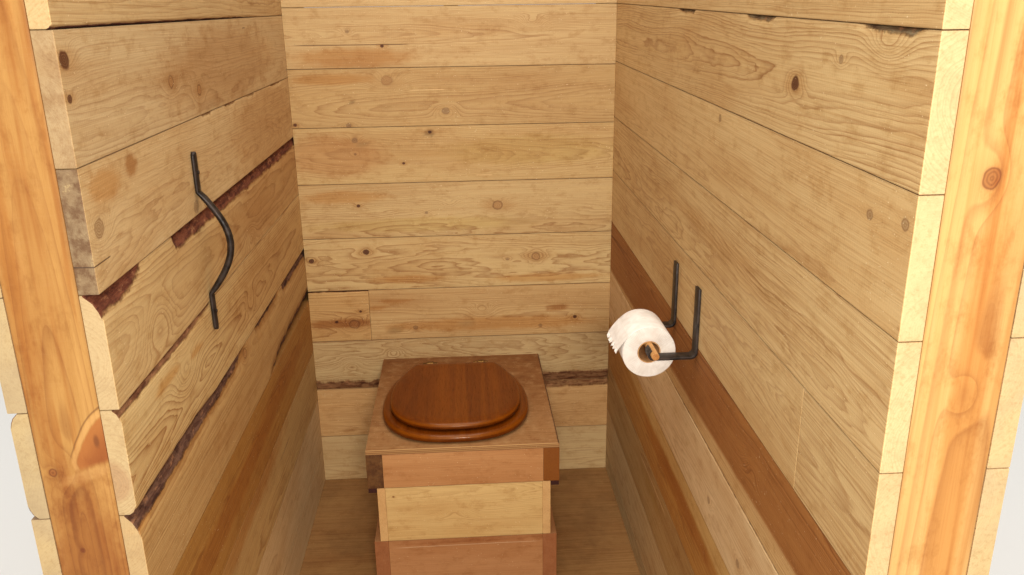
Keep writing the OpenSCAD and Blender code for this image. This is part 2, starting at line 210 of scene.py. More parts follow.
def add(tree, kind, sockets=None, **settings):
    made = tree.nodes.new("ShaderNode" + kind)
    for name, value in settings.items():
        setattr(made, name, value)
    wire(made.inputs, sockets or {})
    return Outputs(made.outputs)


def first_value(values):
    return next(value for value in values if isinstance(value, Value))


def calc(operation, *values):
    """A Math node, or a Vector Math node where the first linked value is a vector."""
    first = first_value(values)
    kind = "VectorMath" if first.socket.type == "VECTOR" else "Math"
    return add(first.tree, kind, dict(enumerate(values)), operation=operation)[0]


print("values can be added and multiplied")


# %% Node helpers
def fade(value, start, end, low=0.0, high=1.0):
    """Goes softly from low to high while the value goes from start to end."""
    sockets = {"Value": value, "From Min": start, "From Max": end, "To Min": low, "To Max": high}
    return add(value.tree, "MapRange", sockets, interpolation_type="SMOOTHSTEP")["Result"]


def blend(factor, first, second, mode="MIX"):
    sockets = {0: factor, 6: first, 7: second}
    tree = first_value(sockets.values()).tree
    return add(tree, "Mix", sockets, data_type="RGBA", blend_type=mode)[2]


def tint(factor, colour, tone):
    """Multiplies a colour by a tone, as far as the factor says."""
    return blend(factor, colour, tone, "MULTIPLY")


def noise(place, scale=1.0, detail=2.0, roughness=0.5):
    sockets = {"Vector": place, "Scale": scale, "Detail": detail, "Roughness": roughness}
    return add(place.tree, "TexNoise", sockets)["Fac"]


def streaks(grain, along, across, detail=2.0, roughness=0.5):
    """Noise with one scale along the grain and another across it."""
    return noise(grain * (along, across, across), 1.0, detail, roughness)


def split(place):
    parts = add(place.tree, "SeparateXYZ", {0: place})
    return [parts[i] for i in range(3)]


def distance(first, second):
    return calc("SQRT", first * first + second * second)


def make_group(name, inputs, outputs):
    tree = bpy.data.node_groups.new(name, "ShaderNodeTree")
    for label, kind, value in inputs:
        socket = tree.interface.new_socket(label, in_out="INPUT", socket_type="NodeSocket" + kind)
        if value is not None:
            socket.default_value = value
    for label, kind in outputs:
        tree.interface.new_socket(label, in_out="OUTPUT", socket_type="NodeSocket" + kind)
    given = Outputs(tree.nodes.new("NodeGroupInput").outputs)
    return tree, given, tree.nodes.new("NodeGroupOutput").inputs


def use_group(group, sockets):
    return add(first_value(sockets.values()).tree, "Group", sockets, node_tree=group)


def new_finish(name):
    finish = bpy.data.materials.new(name)
    finish.use_nodes = True
    return finish, finish.node_tree


def surface(finish, colour, roughness, bump, others=None):
    """Feeds the shader. The bump is its height, its strength and its depth."""
    tree = finish.node_tree
    made = add(tree, "Bump", dict(zip(("Height", "Strength", "Distance"), bump)))
    shader = tree.nodes["Principled BSDF"].inputs
    wire(shader, {"Base Color": colour, "Roughness": roughness, "Normal": made["Normal"]})
    wire(shader, others or {})
    return finish


print("node helpers are ready")

# %% [markdown]
# ## Stage and light
# A pale floor and a pale world keep attention on the wood. The world shines softly on
# the object, and a ray that comes from the camera, or from a gloss, sees it brighter.
# One soft lamp stands near the camera, as a lamp held at the open front would, and a
# larger one fills in from above, through the open top.

# %% World
WORLD_LIGHT = 0.72
PALE_STUDIO = paint(238, 236, 232)

world = bpy.data.worlds.new("world")
scene.world = world
world.use_nodes = True
sky = world.node_tree
sky.nodes.clear()
seen = add(sky, "Background", {"Color": PALE_STUDIO, "Strength": 1.0})
shining = add(sky, "Background", {"Color": (1.0, 0.985, 0.96, 1.0), "Strength": WORLD_LIGHT})
path = add(sky, "LightPath")
direct = calc("MAXIMUM", path["Is Camera Ray"], path["Is Glossy Ray"])
direct_or_through = calc("MAXIMUM", direct, path["Is Transmission Ray"])
either = add(sky, "MixShader", {0: direct_or_through, 1: shining[0], 2: seen[0]})
add(sky, "OutputWorld", {"Surface": either[0]})
print("world light", WORLD_LIGHT)


# %% Lamps and floor
def lamp(name, place, target, size, power):
    light = bpy.data.lights.new(name, "AREA")
    light.size = size
    light.energy = power
    light.color = (1.0, 0.985, 0.94)
    holder = bpy.data.objects.new(name, light)
    scene.collection.objects.link(holder)
    direction = Vector(target) - Vector(place)
    facing_target = direction.to_track_quat("-Z", "Y").to_matrix().to_4x4()
    holder.matrix_world = Matrix.Translation(place) @ facing_target


lamp("front_lamp", (0.10, -2.10, 1.62), (0.0, 0.5, 0.60), 0.45, 37)
lamp("top_lamp", (0.0, -0.3, 3.6), (0.0, 0.0, 0.0), 2.4, 66)

bpy.ops.mesh.primitive_plane_add(size=16, location=(0, 0, cad_box[0][2]))
floor = bpy.context.object
floor.name = "studio_floor"
floor_finish, floor_tree = new_finish("studio_floor")
wire(floor_tree.nodes["Principled BSDF"].inputs, {"Base Color": PALE_STUDIO, "Roughness": 0.9})
floor.data.materials.append(floor_finish)
floor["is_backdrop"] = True
print("lamps and floor are in place")

# %% [markdown]
# ## Knots
# A knot is a branch cut across. The trunk's rings flow round it, a dark line of bark
# often edges it, and it has close rings of its own. The group takes a point in the
# board's grain and one knot: its place along and across the board, and its radius. It
# gives how far the rings are pushed aside, the knot's own wood, its dark rim, its rings
# and the stained wood near it. A radius of nought switches the knot off.

# %% Knot group
KNOT_RINGS = 620

knot_group, given, result = make_group(
    "knot",
    [("Grain", "Vector", None), ("Knot", "Vector", (0.0, 0.0, 0.0)), ("Wobble", "Float", 0.0)],
    [(label, "Float") for label in ("Swell", "Core", "Rim", "Rings", "Halo")],
)
along, across, _ = split(given["Grain"] - given["Knot"])
radius = split(given["Knot"])[2]
size = calc("MAXIMUM", radius, 0.0004)
there = calc("GREATER_THAN", radius, 0.0005)
u = along / (size * 1.15)
v = across / size
rel = distance(u, v) + given["Wobble"]
spread = distance(u * 0.36, v * 0.55)
bell = calc("EXPONENT", spread * spread * -1.0)
wire(result, {
    "Swell": bell * size * there * 1.7,
    "Core": fade(rel, 1.08, 0.92) * there,
    "Rim": fade(abs(rel - 1.0), 0.30, 0.0) * there,
    "Rings": fade(calc("PINGPONG", rel * size * KNOT_RINGS, 1.0), 0.2, 0.8),
    "Halo": fade(distance(u * 0.5, v), 2.4, 0.7) * there,
})
print("knot group has", len(knot_group.nodes), "nodes")

# %% [markdown]
# ## Solid wood
# Wood is solid, so its figure is worked out in space and not wrapped round the board.
# The grain vector gives the distance along the trunk's middle line and the two
# distances from it. The distance from that line, warped a little, gives the year rings:
# pale spring wood that darkens slowly and ends in a sharp line. A board whose face
# leans against the trunk's line shows arches, and its ends show arcs, with no more work.
# Rings come in narrow and wide years, and the figure fades in and out along the board.

# %% Year rings
KNOT_LETTERS = "ABCD"


def year_rings(given, letters):
    """The rings and the knots. Gives late wood, the warped radius, the knots and slow noise."""
    grain = given["Grain"]
    wobble = noise(grain, 85.0, 1.0) * 0.55 - 0.27 if letters else 0.0
    knots = []
    for letter in letters:
        knot = {"Grain": grain, "Knot": given["Knot " + letter], "Wobble": wobble}
        knots.append(use_group(knot_group, knot))
    slow_warp = streaks(grain, 1.5, 8.0, 1.0)
    quick_warp = streaks(grain, 9.0, 55.0)
    warped = add(grain.tree, "VectorMath", {0: grain * (0.0, 1.0, 1.0)}, operation="LENGTH")["Value"]
    warped = slow_warp * (given["Warp"] * 0.034) + warped
    warped = quick_warp * (given["Warp"] * 0.0055) + warped
    for knot in knots:
        warped = warped + knot["Swell"]
    sockets = {"W": warped, "Scale": 85.0, "Detail": 0.0}
    years = add(grain.tree, "TexNoise", sockets, noise_dimensions="1D")["Fac"]
    count = (years * 0.007 + warped) / given["Ring width"]
    part_of_year = calc("FRACT", count)
    late = calc("MAXIMUM", part_of_year ** 3.0, fade(part_of_year, 0.0, 0.12, 1.0, 0.0))
    year = calc("FLOOR", count)
    strength = add(grain.tree, "TexWhiteNoise", {"W": year}, noise_dimensions="1D")["Value"]
    late = late * (strength * 0.7 + 0.3) * fade(slow_warp, 0.30, 0.50, 0.45, 1.0)
    return late, warped, knots, slow_warp


# %% Solid wood group
@cache
def solid_wood(letters):
    """The group for boards with this many knots, made once for each count."""
    inputs = [
        ("Grain", "Vector", None), ("Ring width", "Float", 0.003), ("Figure", "Float", 0.5),
        ("Warp", "Float", 1.0), ("Fibre", "Float", 1.0), ("Heart radius", "Float", 0.0),
        ("Sapwood", "Color", paint(214, 176, 122)), ("Heartwood", "Color", paint(178, 116, 62)),
    ]
    for letter in letters:
        inputs += [
            ("Knot " + letter, "Vector", (0.0, 0.0, 0.0)), ("Tone " + letter, "Color", paint(120, 80, 46)),
            ("Core " + letter, "Float", 1.0), ("Rim " + letter, "Float", 1.0),
        ]
    outputs = [(label, "Float") for label in ("Height", "Roughness", "Dirt", "Cloud", "Slow")]
    group, given, result = make_group("solid wood " + letters, inputs, outputs + [("Color", "Color")])
    grain = given["Grain"]
    late, warped, knots, slow_warp = year_rings(given, letters)

    heart_edge = warped - (given["Warp"] * 0.017 + given["Heart radius"])
    wood = blend(fade(heart_edge, 0.007, -0.006), given["Sapwood"], given["Heartwood"])
    cloud = streaks(grain, 1.8, 9.0, 3.0, 0.6)
    wood = tint(fade(cloud, 0.44, 0.72, 0.0, 0.60), wood, paint(228, 208, 184))
    wood = tint(fade(cloud, 0.46, 0.26, 0.0, 0.50), wood, (1.10, 1.10, 1.08, 1.0))
    wood = tint(late * given["Figure"], wood, paint(178, 136, 94))
    fibre = streaks(grain, 3.2, 240.0, 2.0, 0.65)
    wood = tint(fade(fibre, 0.44, 0.70, 0.0, 0.50) * given["Fibre"], wood, paint(216, 194, 164))
    thread = streaks(grain, 9.0, 900.0, 1.0)
    wood = tint(fade(thread, 0.52, 0.72, 0.0, 0.45) * given["Fibre"], wood, paint(200, 170, 134))
    dirt = streaks(grain, 22.0, 36.0, 4.0, 0.74)
    wood = tint(fade(dirt, 0.48, 0.72, 0.0, 0.55), wood, paint(220, 202, 176))
    for letter, knot in zip(letters, knots):
        rim = given["Rim " + letter]
        wood = tint(knot["Halo"] * rim * 0.55, wood, paint(222, 194, 156))
        core = tint(knot["Rings"], given["Tone " + letter], paint(206, 178, 146))
        wood = blend(knot["Core"] * given["Core " + letter], wood, core)
        wood = blend(knot["Rim"] * rim * 0.6, wood, paint(98, 58, 30))
    wire(result, {
        "Color": wood, "Height": fibre, "Roughness": fibre * 0.22 + 0.52,
        "Dirt": dirt, "Cloud": cloud, "Slow": slow_warp,
    })
    return group


plain_wood = solid_wood("")
print("solid wood without knots has", len(plain_wood.nodes), "nodes")

# %% [markdown]
# ## Bark, saw marks and specks
# Where the saw left the log's own round surface, a board has a waney edge with bark on
# it: dark red-brown, streaked along the log, with paler scars. A frame saw leaves low
# ridges across the grain, with torn pale ticks here and there. Sawdust and splashes
# leave small pale specks, and old pin holes leave dark ones.

# %% Bark group
bark_group, given, result = make_group(
    "bark",
    [("Grain", "Vector", None), ("Tone", "Color", paint(112, 62, 38))],
    [("Color", "Color"), ("Height", "Float")],
)
scars = streaks(given["Grain"], 16.0, 150.0, 3.0, 0.65)
lumps = streaks(given["Grain"], 45.0, 90.0, 3.0, 0.6)
bark = tint(fade(scars, 0.40, 0.62), given["Tone"], paint(196, 172, 160))
bark = tint(fade(lumps, 0.50, 0.66, 0.0, 0.8), bark, paint(170, 140, 124))
bark = blend(fade(lumps, 0.44, 0.30, 0.0, 0.55), bark, paint(168, 116, 78))
wire(result, {"Color": bark, "Height": lumps + scars})
print("bark group has", len(bark_group.nodes), "nodes")

# %% Saw marks group
saw_group, given, result = make_group(
    "saw marks",
    [("Grain", "Vector", None), ("Patch", "Float", 0.5)],
    [("Height", "Float"), ("Ticks", "Float")],
)
teeth = {"Vector": given["Grain"] * (1.0, 0.05, 0.05), "Scale": 62.0, "Distortion": 2.2, "Detail": 1.0}
ridges = add(saw_group, "TexWave", teeth, wave_type="BANDS", bands_direction="X")["Fac"]
torn = streaks(given["Grain"], 420.0, 40.0, 2.0, 0.6)
ticks = fade(torn, 0.54, 0.72) * fade(given["Patch"], 0.44, 0.60)
wire(result, {"Height": ridges * 0.35, "Ticks": ticks})
print("saw marks group has", len(saw_group.nodes), "nodes")

# %% Specks group
specks_group, given, result = make_group(
    "specks", [("Place", "Vector", None)], [("Pale", "Float"), ("Dark", "Float")],
)
crumbs = streaks(given["Place"], 330.0, 420.0, 0.0)
wire(result, {"Pale": fade(crumbs, 0.80, 0.86), "Dark": fade(crumbs, 0.16, 0.11)})
print("specks group has", len(specks_group.nodes), "nodes")


# %% [markdown]
# ## The plank material
# All planks share one way of finishing. What differs from board to board is written on
# the board's own mesh as attributes: its place in the trunk, its ring width, its two
# colours, up to four knots, soft stains and patches of painted shade, which faces are
# sawn ends, which eased edges are lighter from wear and a painted highlight, and which
# carry bark. The material only reads them.


# %% Reading a board
def attribute(tree, name, output="Fac"):
    return add(tree, "Attribute", attribute_name=name, attribute_type="GEOMETRY")[output]


def board_wood(tree, grain, letters):
    """The solid wood of a board, with the first of its knots."""
    ring, figure, heart_radius = split(attribute(tree, "look", "Vector"))
    warp, fibre, wet = split(attribute(tree, "feel", "Vector"))
    sockets = {
        "Grain": grain, "Ring width": ring, "Figure": figure, "Heart radius": heart_radius,
        "Warp": warp, "Fibre": fibre,
        "Sapwood": attribute(tree, "sap", "Color"), "Heartwood": attribute(tree, "heart", "Color"),
    }
    for letter in letters:
        small = letter.lower()
        sockets["Knot " + letter] = attribute(tree, "knot_" + small, "Vector")
        sockets["Tone " + letter] = attribute(tree, "tone_" + small, "Color")
        sockets["Core " + letter] = attribute(tree, "tone_" + small, "Alpha")
        sockets["Rim " + letter] = attribute(tree, "rim_" + small)
    return use_group(solid_wood(letters), sockets), wet


# %% Stains, painted shade, ends and bark
def stained_and_shaded(tree, wood, colour):
    """Soft stains and patches of painted shade, their edges broken up by the dirt's noise."""
    ragged = wood["Dirt"] * 0.9 + (attribute(tree, "stain_and_shade", "Alpha") - 0.45)
    return tint(fade(ragged, 0.15, 0.85), colour, attribute(tree, "stain_and_shade", "Color"))


def scratched(tree, grain, wood, colour):
    """One thin line along the grain, dark for a crack and pale for a scrape."""
    scratch = attribute(tree, "scratch", "Vector")
    along, across, _ = split(grain - scratch)
    half = calc("MAXIMUM", split(scratch)[2], 0.0001)
    off = abs(wood["Slow"] * 0.010 + (across - 0.005))
    inside = fade(abs(along) / half, 1.0, 0.75)
    mask = fade(off, 0.0013, 0.0004) * inside * attribute(tree, "scratch_tone", "Alpha")
    return blend(mask, colour, attribute(tree, "scratch_tone", "Color"))


def sawn_end(tree, wood, colour, wet):
    """End grain: paler, dotted with pores, and blotched where it has stood wet."""
    toned = blend(0.66, colour, attribute(tree, "end_tone", "Color"))
    toned = tint(fade(wood["Height"], 0.50, 0.74, 0.0, 0.25), toned, paint(214, 190, 160))
    toned = tint(fade(wood["Dirt"], 0.40, 0.62) * wet, toned, paint(206, 188, 178))
    toned = blend(fade(wood["Dirt"], 0.40, 0.30) * wet * 0.5, toned, paint(196, 168, 116))
    return blend(attribute(tree, "end"), colour, toned)


def barked(tree, grain, colour, deep):
    """Gives the colour with bark on it, how far the bark covers each point, and its height."""
    ragged = streaks(grain, 210.0, 16.0) * 0.0012 + (streaks(grain, 50.0, 120.0) * 0.0022 - 0.0017)
    flag = attribute(tree, "bark")
    cover = fade(deep - attribute(tree, "bare") + ragged, 0.0012, 0.0028) * flag
    colour = tint(fade(deep, 0.0005, 0.003) * flag, colour, paint(214, 196, 176))
    bark = use_group(bark_group, {"Grain": grain, "Tone": attribute(tree, "bark_tone", "Color")})
    return blend(cover, colour, bark["Color"]), cover, bark["Height"]


# %% Nails and the spike knot
NAIL_INSET = 0.030
NAIL_RADIUS = 0.0042
FAR_AWAY = 9.0
LEAF_SHAPE = 1.35


def nailed(tree, colour, place, lines, axis):
    """Two nail heads a board at each stud, with rust bled into the wood round them."""
    here = split(add(tree, "TexCoord")["Object"])[axis]
    aside = FAR_AWAY
    for line in lines:
        aside = calc("MINIMUM", aside, abs(here - line))
    reach = distance(aside, calc("MINIMUM", place[0], place[1]) - NAIL_INSET)
    on_face = calc("LESS_THAN", abs(place[2]), 0.001)
    rust = fade(reach, NAIL_RADIUS * 3.2, NAIL_RADIUS, 0.0, 0.7) * on_face
    head = fade(reach, NAIL_RADIUS * 1.05, NAIL_RADIUS * 0.9) * on_face
    colour = tint(rust, colour, paint(176, 132, 100))
    return blend(head, colour, paint(92, 78, 66)), head


def spiked(tree, grain, colour):
    """A branch sawn lengthwise: a leaf of orange wood with a thin dark outline."""
    spike = attribute(tree, "spike", "Vector")
    along, across, _ = split(grain - spike)
    radius = calc("MAXIMUM", split(spike)[2], 0.001)
    reach = abs(along / (radius * 1.6)) ** LEAF_SHAPE + abs(across / radius) ** LEAF_SHAPE
    reach = noise(grain, 26.0, 2.0) * 0.2 + (reach - 0.1)
    foot = across * -0.30 + along
    above = fade(foot, -0.004, 0.006)
    rim = fade(abs(reach - 1.10), 0.16, 0.05) * above
    line = fade(abs(reach - 1.28), 0.06, 0.01) * fade(foot, 0.012, 0.034)
    leaf = fade(reach, 1.02, 0.9) * above
    inner = blend(fade(reach, 0.15, 0.9), paint(142, 78, 30), paint(160, 96, 42))
    slit = distance((along - 0.030) / 0.010, (across + 0.011) / 0.0040)
    inner = blend(fade(slit, 1.3, 0.4, 0.0, 0.7), inner, paint(104, 54, 22))
    colour = blend(rim * 0.6, colour, paint(196, 146, 84))
    pale = distance((foot + 0.010) / 0.010, (across + 0.030) / 0.040)
    colour = blend(fade(pale, 1.2, 0.4, 0.0, 0.4), colour, paint(200, 152, 90))
    colour = blend(leaf, colour, inner)
    return blend(line * 0.6, colour, paint(98, 58, 28))


def streaked(grain, colour):
    """Broad soft streaks up and down, as planed softwood has."""
    bands = streaks(grain, 0.8, 62.0, 2.0, 0.55)
    colour = tint(fade(bands, 0.50, 0.70, 0.0, 0.8), colour, paint(232, 208, 180))
    return tint(fade(bands, 0.48, 0.30, 0.0, 0.8), colour, (1.10, 1.13, 1.22, 1.0))


# %% Plank material
def wood_material(name, knots=0, stains=False, scratch=False, waney=False, spike=False, nails=None,
                  sawn=0.5, specks=0.6, weather=0.0):
    """A finish for pieces that carry board attributes. nails is (lines, axis)."""
    finish, tree = new_finish(name)
    grain = attribute(tree, "grain", "Vector")
    wood, wet = board_wood(tree, grain, KNOT_LETTERS[:knots])
    place = split(attribute(tree, "place", "Vector"))
    colour = wood["Color"]
    if spike:
        colour = spiked(tree, grain, streaked(grain, colour))
    if stains:
        colour = stained_and_shaded(tree, wood, colour)
    if scratch:
        colour = scratched(tree, grain, wood, colour)
    saw = use_group(saw_group, {"Grain": grain, "Patch": wood["Cloud"]})
    colour = blend(saw["Ticks"] * (0.15 * sawn), colour, paint(232, 206, 160))
    # Painted shade: each board is darker along its two long edges, where the seams are; the dirt noise only
    # breaks up its border.
    edge = wood["Dirt"] * 0.004 + calc("MINIMUM", place[0], place[1])
    colour = blend(fade(edge, 0.0048, 0.0014, 0.0, 0.4), colour, paint(96, 62, 36))
    colour = sawn_end(tree, wood, colour, wet)
    # Partly wear, partly a painted highlight: the eased edges between a face and an end are made lighter.
    colour = tint(attribute(tree, "wear_and_highlight"), colour, (1.12, 1.11, 1.08, 1.0))
    if weather > 0:
        colour = blend(fade(wood["Cloud"], 0.32, 0.68, 0.0, weather), colour, paint(158, 140, 116))
    dots = use_group(specks_group, {"Place": grain})
    on_side = 1.0 - attribute(tree, "end")
    colour = blend(dots["Pale"] * on_side * specks, colour, paint(238, 216, 172))
    colour = blend(dots["Dark"] * on_side * (specks * 0.8), colour, paint(98, 66, 40))
    height = saw["Height"] * sawn + wood["Height"]
    roughness = wood["Roughness"]
    if nails:
        colour, head = nailed(tree, colour, place, *nails)
        height = head * -1.6 + height
    if waney:
        colour, cover, bark_height = barked(tree, grain, colour, place[2])
        roughness = cover * 0.3 + roughness
        height = bark_height * cover * 5.0 + height
    return surface(finish, colour, roughness, (height, 0.6, 0.0007), {"Specular IOR Level": 0.3})


FINISHES = {}


def board_finish(base, look, **feel):
    """The plainest finish that can show all that a board's notes name."""
    traits = {
        "knots": len(look.get("knots", [])),
        "stains": "stains" in look,
        "scratch": "scratch" in look,
        "waney": "upper" in look or "lower" in look,
        "spike": "spike" in look,
    }
    name = "_".join([base] + [f"{trait}{value:d}" for trait, value in traits.items() if value])
    if name not in FINISHES:
        FINISHES[name] = wood_material(name, **traits, **feel)
    return FINISHES[name]


print("finishes are made as boards ask for them")

# %% [markdown]
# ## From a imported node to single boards
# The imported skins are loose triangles. A copy is merged into clean boxes and taken
# apart, so that each board is a piece of its own. The copy is shaped further, and the
# node itself is only hidden later.


# %% Copy and take apart
MERGE = 0.00001
SAME_PLANE = math.radians(0.3)
EASED_EDGE = 0.0013


def copy_node(node, name):
    piece = bpy.data.objects.new(name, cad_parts[node].data.copy())
    scene.collection.objects.link(piece)
    piece.data.materials.clear()
    with editing(piece, "EDGE"):
        bpy.ops.mesh.remove_doubles(threshold=MERGE)
        bpy.ops.mesh.dissolve_limited(angle_limit=SAME_PLANE)
        bpy.ops.mesh.normals_make_consistent(inside=False)
    bpy.ops.mesh.customdata_custom_splitnormals_clear()
    return piece


def middle(piece):
    corners = [Vector(c) for c in piece.bound_box]
    return sum(corners, Vector()) / 8


def take_apart(node, names):
    whole = copy_node(node, node + "_copy")
    with editing(whole):
        bpy.ops.mesh.separate(type="LOOSE")
    parts = list(bpy.context.selected_objects)
    parts.sort(key=lambda part: [round(c, 2) for c in reversed(middle(part))])
    for i, part in enumerate(parts):
        part.name = names.format(i)
        part.data.name = part.name
    return parts


def flatten_shading(piece, degrees):
    """Smooth shading that leaves wide faces flat, so that no board looks padded."""
    activate(piece)
    smooth_up_to(degrees)
    weighted = piece.modifiers.new("weighted", "WEIGHTED_NORMAL")
    weighted.keep_sharp = True
    apply_all(piece)


print("packed nodes:", len(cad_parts))

# %% [markdown]
# ## Which way a board faces
# Each wall is described once: the direction along its boards, the direction across
# them, and the direction into the wood from the face that shows. All later steps ask
# the wall and not the board, so the same code serves a plank, a post and a rail.


# %% Walls
class Wall:
    def __init__(self, along, across, into, surface):
        self.along = Vector(along).normalized()
        self.across = Vector(across).normalized()
        self.into = Vector(into).normalized()
        self.surface = surface

    def place(self, point):
        point = Vector(point)
        return point.dot(self.along), point.dot(self.across), point.dot(self.into) - self.surface

    def spot(self, along, across):
        """The place of a mark on the face, from its two row coordinates."""
        made = Vector((0, 0, 0))
        for direction, value in ((self.along, along), (self.across, across), (self.into, self.surface)):
            axis = max(range(3), key=lambda i: abs(direction[i]))
            made[axis] = value * (1 if direction[axis] > 0 else -1)
        return self.place(made)


SIDES = {
    "front": ((1, 0, 0), (0, 1, 0)),
    "back": ((1, 0, 0), (0, -1, 0)),
    "left": ((0, 1, 0), (1, 0, 0)),
    "right": ((0, 1, 0), (-1, 0, 0)),
}


def facing(node, side):
    """The wall of a node whose face looks to this side of the stall."""
    along, into = SIDES[side]
    low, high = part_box(node)
    surface_at = min(low.dot(Vector(into)), high.dot(Vector(into)))
    return Wall(along, (0, 0, 1), into, surface_at)


COURSE_FALL = 0.0155
left_wall = facing("left_inner_planks", "right")
back_wall = facing("back_inner_planks", "front")
right_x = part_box("right_inner_planks")[0].x
right_wall = Wall((0, 1, COURSE_FALL), (0, -COURSE_FALL, 1), (1, 0, 0), right_x)
open_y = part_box("left_post")[0].y
left_x = -left_wall.surface
print("inner faces at", round(left_x, 3), round(right_x, 3), round(back_wall.surface, 3))


# %% [markdown]
# ## Waney edges
# A waney edge is where the round log ran out before the board was wide enough. Extra
# rows are cut along that edge with bisect, the board is subdivided along its length,
# and a Displace modifier sinks the rows into the wood. The sinking follows a vertex
# group, so it fades in and out along the board, and a cloud texture makes it lumpy.


# %% Cutting rows
WANE_STEP = 0.011
WANE_ROWS = ((0.0, 0.0), (0.34, 0.16), (0.68, 0.46), (0.95, 1.0))
ALREADY_DIVIDED = 400

lumpy = bpy.data.textures.new("lumpy_edge", "CLOUDS")
lumpy.noise_scale = 0.035


def cut_row(piece, point, normal):
    with editing(piece):
        bpy.ops.mesh.bisect(plane_co=point, plane_no=normal)
        bpy.ops.mesh.select_all(action="DESELECT")


def divide(piece, direction, step, shortest=0.05):
    """Cuts all edges that run this way into steps of about this length."""
    mesh = piece.data
    select_none(piece)
    longest = 0.0
    for e in mesh.edges:
        a, b = (mesh.vertices[i].co for i in e.vertices)
        run = abs((b - a).dot(direction))
        e.select = run > 0.9 * (b - a).length and run > shortest
        longest = max(longest, run)
    with editing(piece, whole=False):
        bpy.ops.mesh.subdivide(number_cuts=max(1, round(longest / step) - 1))


# %% Waney edge
Wane = namedtuple("Wane", "start end depth reach fade_in fade_out", defaults=(0.02, 0.05))
FLUSH = 0.001


def wane_share(strips, along):
    """How deep the edge is missing at this place, as a share of the deepest."""
    deepest = max(s.depth for s in strips)
    share = 0.0
    for s in strips:
        if s.start < along < s.end:
            near = min((along - s.start) / s.fade_in, (s.end - along) / s.fade_out, 1.0)
            wave = 0.84 + 0.16 * math.sin(along * 41 + s.start * 70) * math.sin(along * 97)
            share = max(share, math.sin(near * math.pi / 2) * wave * s.depth / deepest)
    return share


def cut_wane(piece, wall, strips, edge):
    """Sinks the upper or lower edge of the face that shows."""
    sign = 1 if edge == "upper" else -1
    limit = max(sign * wall.place(v.co)[1] for v in piece.data.vertices)
    reach = max(s.reach for s in strips)
    depth = max(s.depth for s in strips)
    for share, _ in WANE_ROWS[:-1]:
        level = sign * (limit - reach * (1 - share))
        cut_row(piece, wall.across * level + wall.into * wall.surface, wall.across)
    if len(piece.data.vertices) < ALREADY_DIVIDED:
        divide(piece, wall.along, WANE_STEP)
    group = piece.vertex_groups.new(name="wane")
    for v in piece.data.vertices:
        along, across, into = wall.place(v.co)
        risen = (sign * across - (limit - reach)) / reach
        if risen < -0.01 or into > 2.5 * EASED_EDGE:
            continue
        sunk = np.interp(risen, *zip(*WANE_ROWS))
        group.add([v.index], float(sunk) * wane_share(strips, along), "REPLACE")
    axis = max(range(3), key=lambda i: abs(wall.into[i]))
    for name, strength, texture in (("sink", depth, None), ("lumps", depth * 0.7, lumpy)):
        sink = piece.modifiers.new(name, "DISPLACE")
        sink.direction = "XYZ"[axis]
        sink.vertex_group = group.name
        sink.mid_level = 0.0 if texture is None else 0.5
        sink.strength = strength * (1 if wall.into[axis] > 0 else -1)
        if texture:
            sink.texture = texture
            sink.texture_coords = "LOCAL"
    apply_all(piece)
    piece.vertex_groups.clear()
    return reach


print("waney edges are cut in steps of", WANE_STEP)

# %% [markdown]
# ## Colours, knots, stains and painted shade by name
# A board's notes name its knots and stains by kind. A knot kind is the colour of its
# own wood, how much of that colour shows, and how strong its dark rim is. A stain is a
# tone that multiplies the wood under it, so the grain still shows through. The tone
# called shade is no stain but painted shade, where less light reaches the left wall.

# %% Kinds of marks
TAN = paint(205, 175, 127)
CREAM = paint(206, 174, 122)
HEART = paint(176, 114, 60)
BARK = paint(116, 64, 40)
END = paint(196, 164, 118)
KNOT_KINDS = {
    "dark": (paint(102, 64, 36), 1.0, 0.9),
    "ringed": (paint(180, 136, 86), 0.6, 0.9),
    "faint": (paint(160, 114, 68), 0.5, 0.3),
    "soft": (paint(158, 128, 90), 0.7, 0.15),
    "eye": (paint(142, 82, 36), 0.75, 0.4),
    "grey": (paint(140, 112, 82), 0.6, 0.2),
    "figure": (TAN, 0.0, 0.0),
}
STAIN_AND_SHADE_TONES = {
    "orange": paint(240, 220, 194),
    "brown": paint(212, 184, 156),
    "grey": paint(206, 204, 200),
    "red": paint(243, 226, 214),
    "yellow": paint(248, 247, 230),
    # Not a stain: painted shade on the deep parts of the left wall, where less light reaches.
    "shade": paint(236, 222, 208),
    "pale": (1.24, 1.22, 1.16, 1.0),
}
KINDS = {1: ("FLOAT", "value"), 3: ("FLOAT_VECTOR", "vector"), 4: ("FLOAT_COLOR", "color")}


def write(mesh, name, values, domain="POINT"):
    """Writes numbers, vectors or colours as an attribute, by how many values each has."""
    rows = np.asarray(values, np.float32).reshape(len(values), -1)
    kind, field = KINDS[rows.shape[1]]
    layer = mesh.attributes.new(name, kind, domain)
    layer.data.foreach_set(field, rows.ravel())


def stain_and_shade_values(places, stains):
    """The tone and the share of the stains at each vertex."""
    values = np.ones((len(places), 4))
    total = np.zeros(len(places))
    tones = np.zeros((len(places), 3))
    for along, across, half_length, half_height, tone in stains:
        off = np.hypot((places[:, 0] - along) / half_length, (places[:, 1] - across) / half_height)
        share = np.clip(1.5 - off, 0.0, 1.0)
        total += share
        tones += share[:, None] * np.array(STAIN_AND_SHADE_TONES[tone][:3])
    covered = total > 0
    values[covered, :3] = tones[covered] / total[covered, None]
    values[:, 3] = np.minimum(total, 1.0)
    return values


print(len(KNOT_KINDS), "kinds of knots and", len(STAIN_AND_SHADE_TONES), "stains")

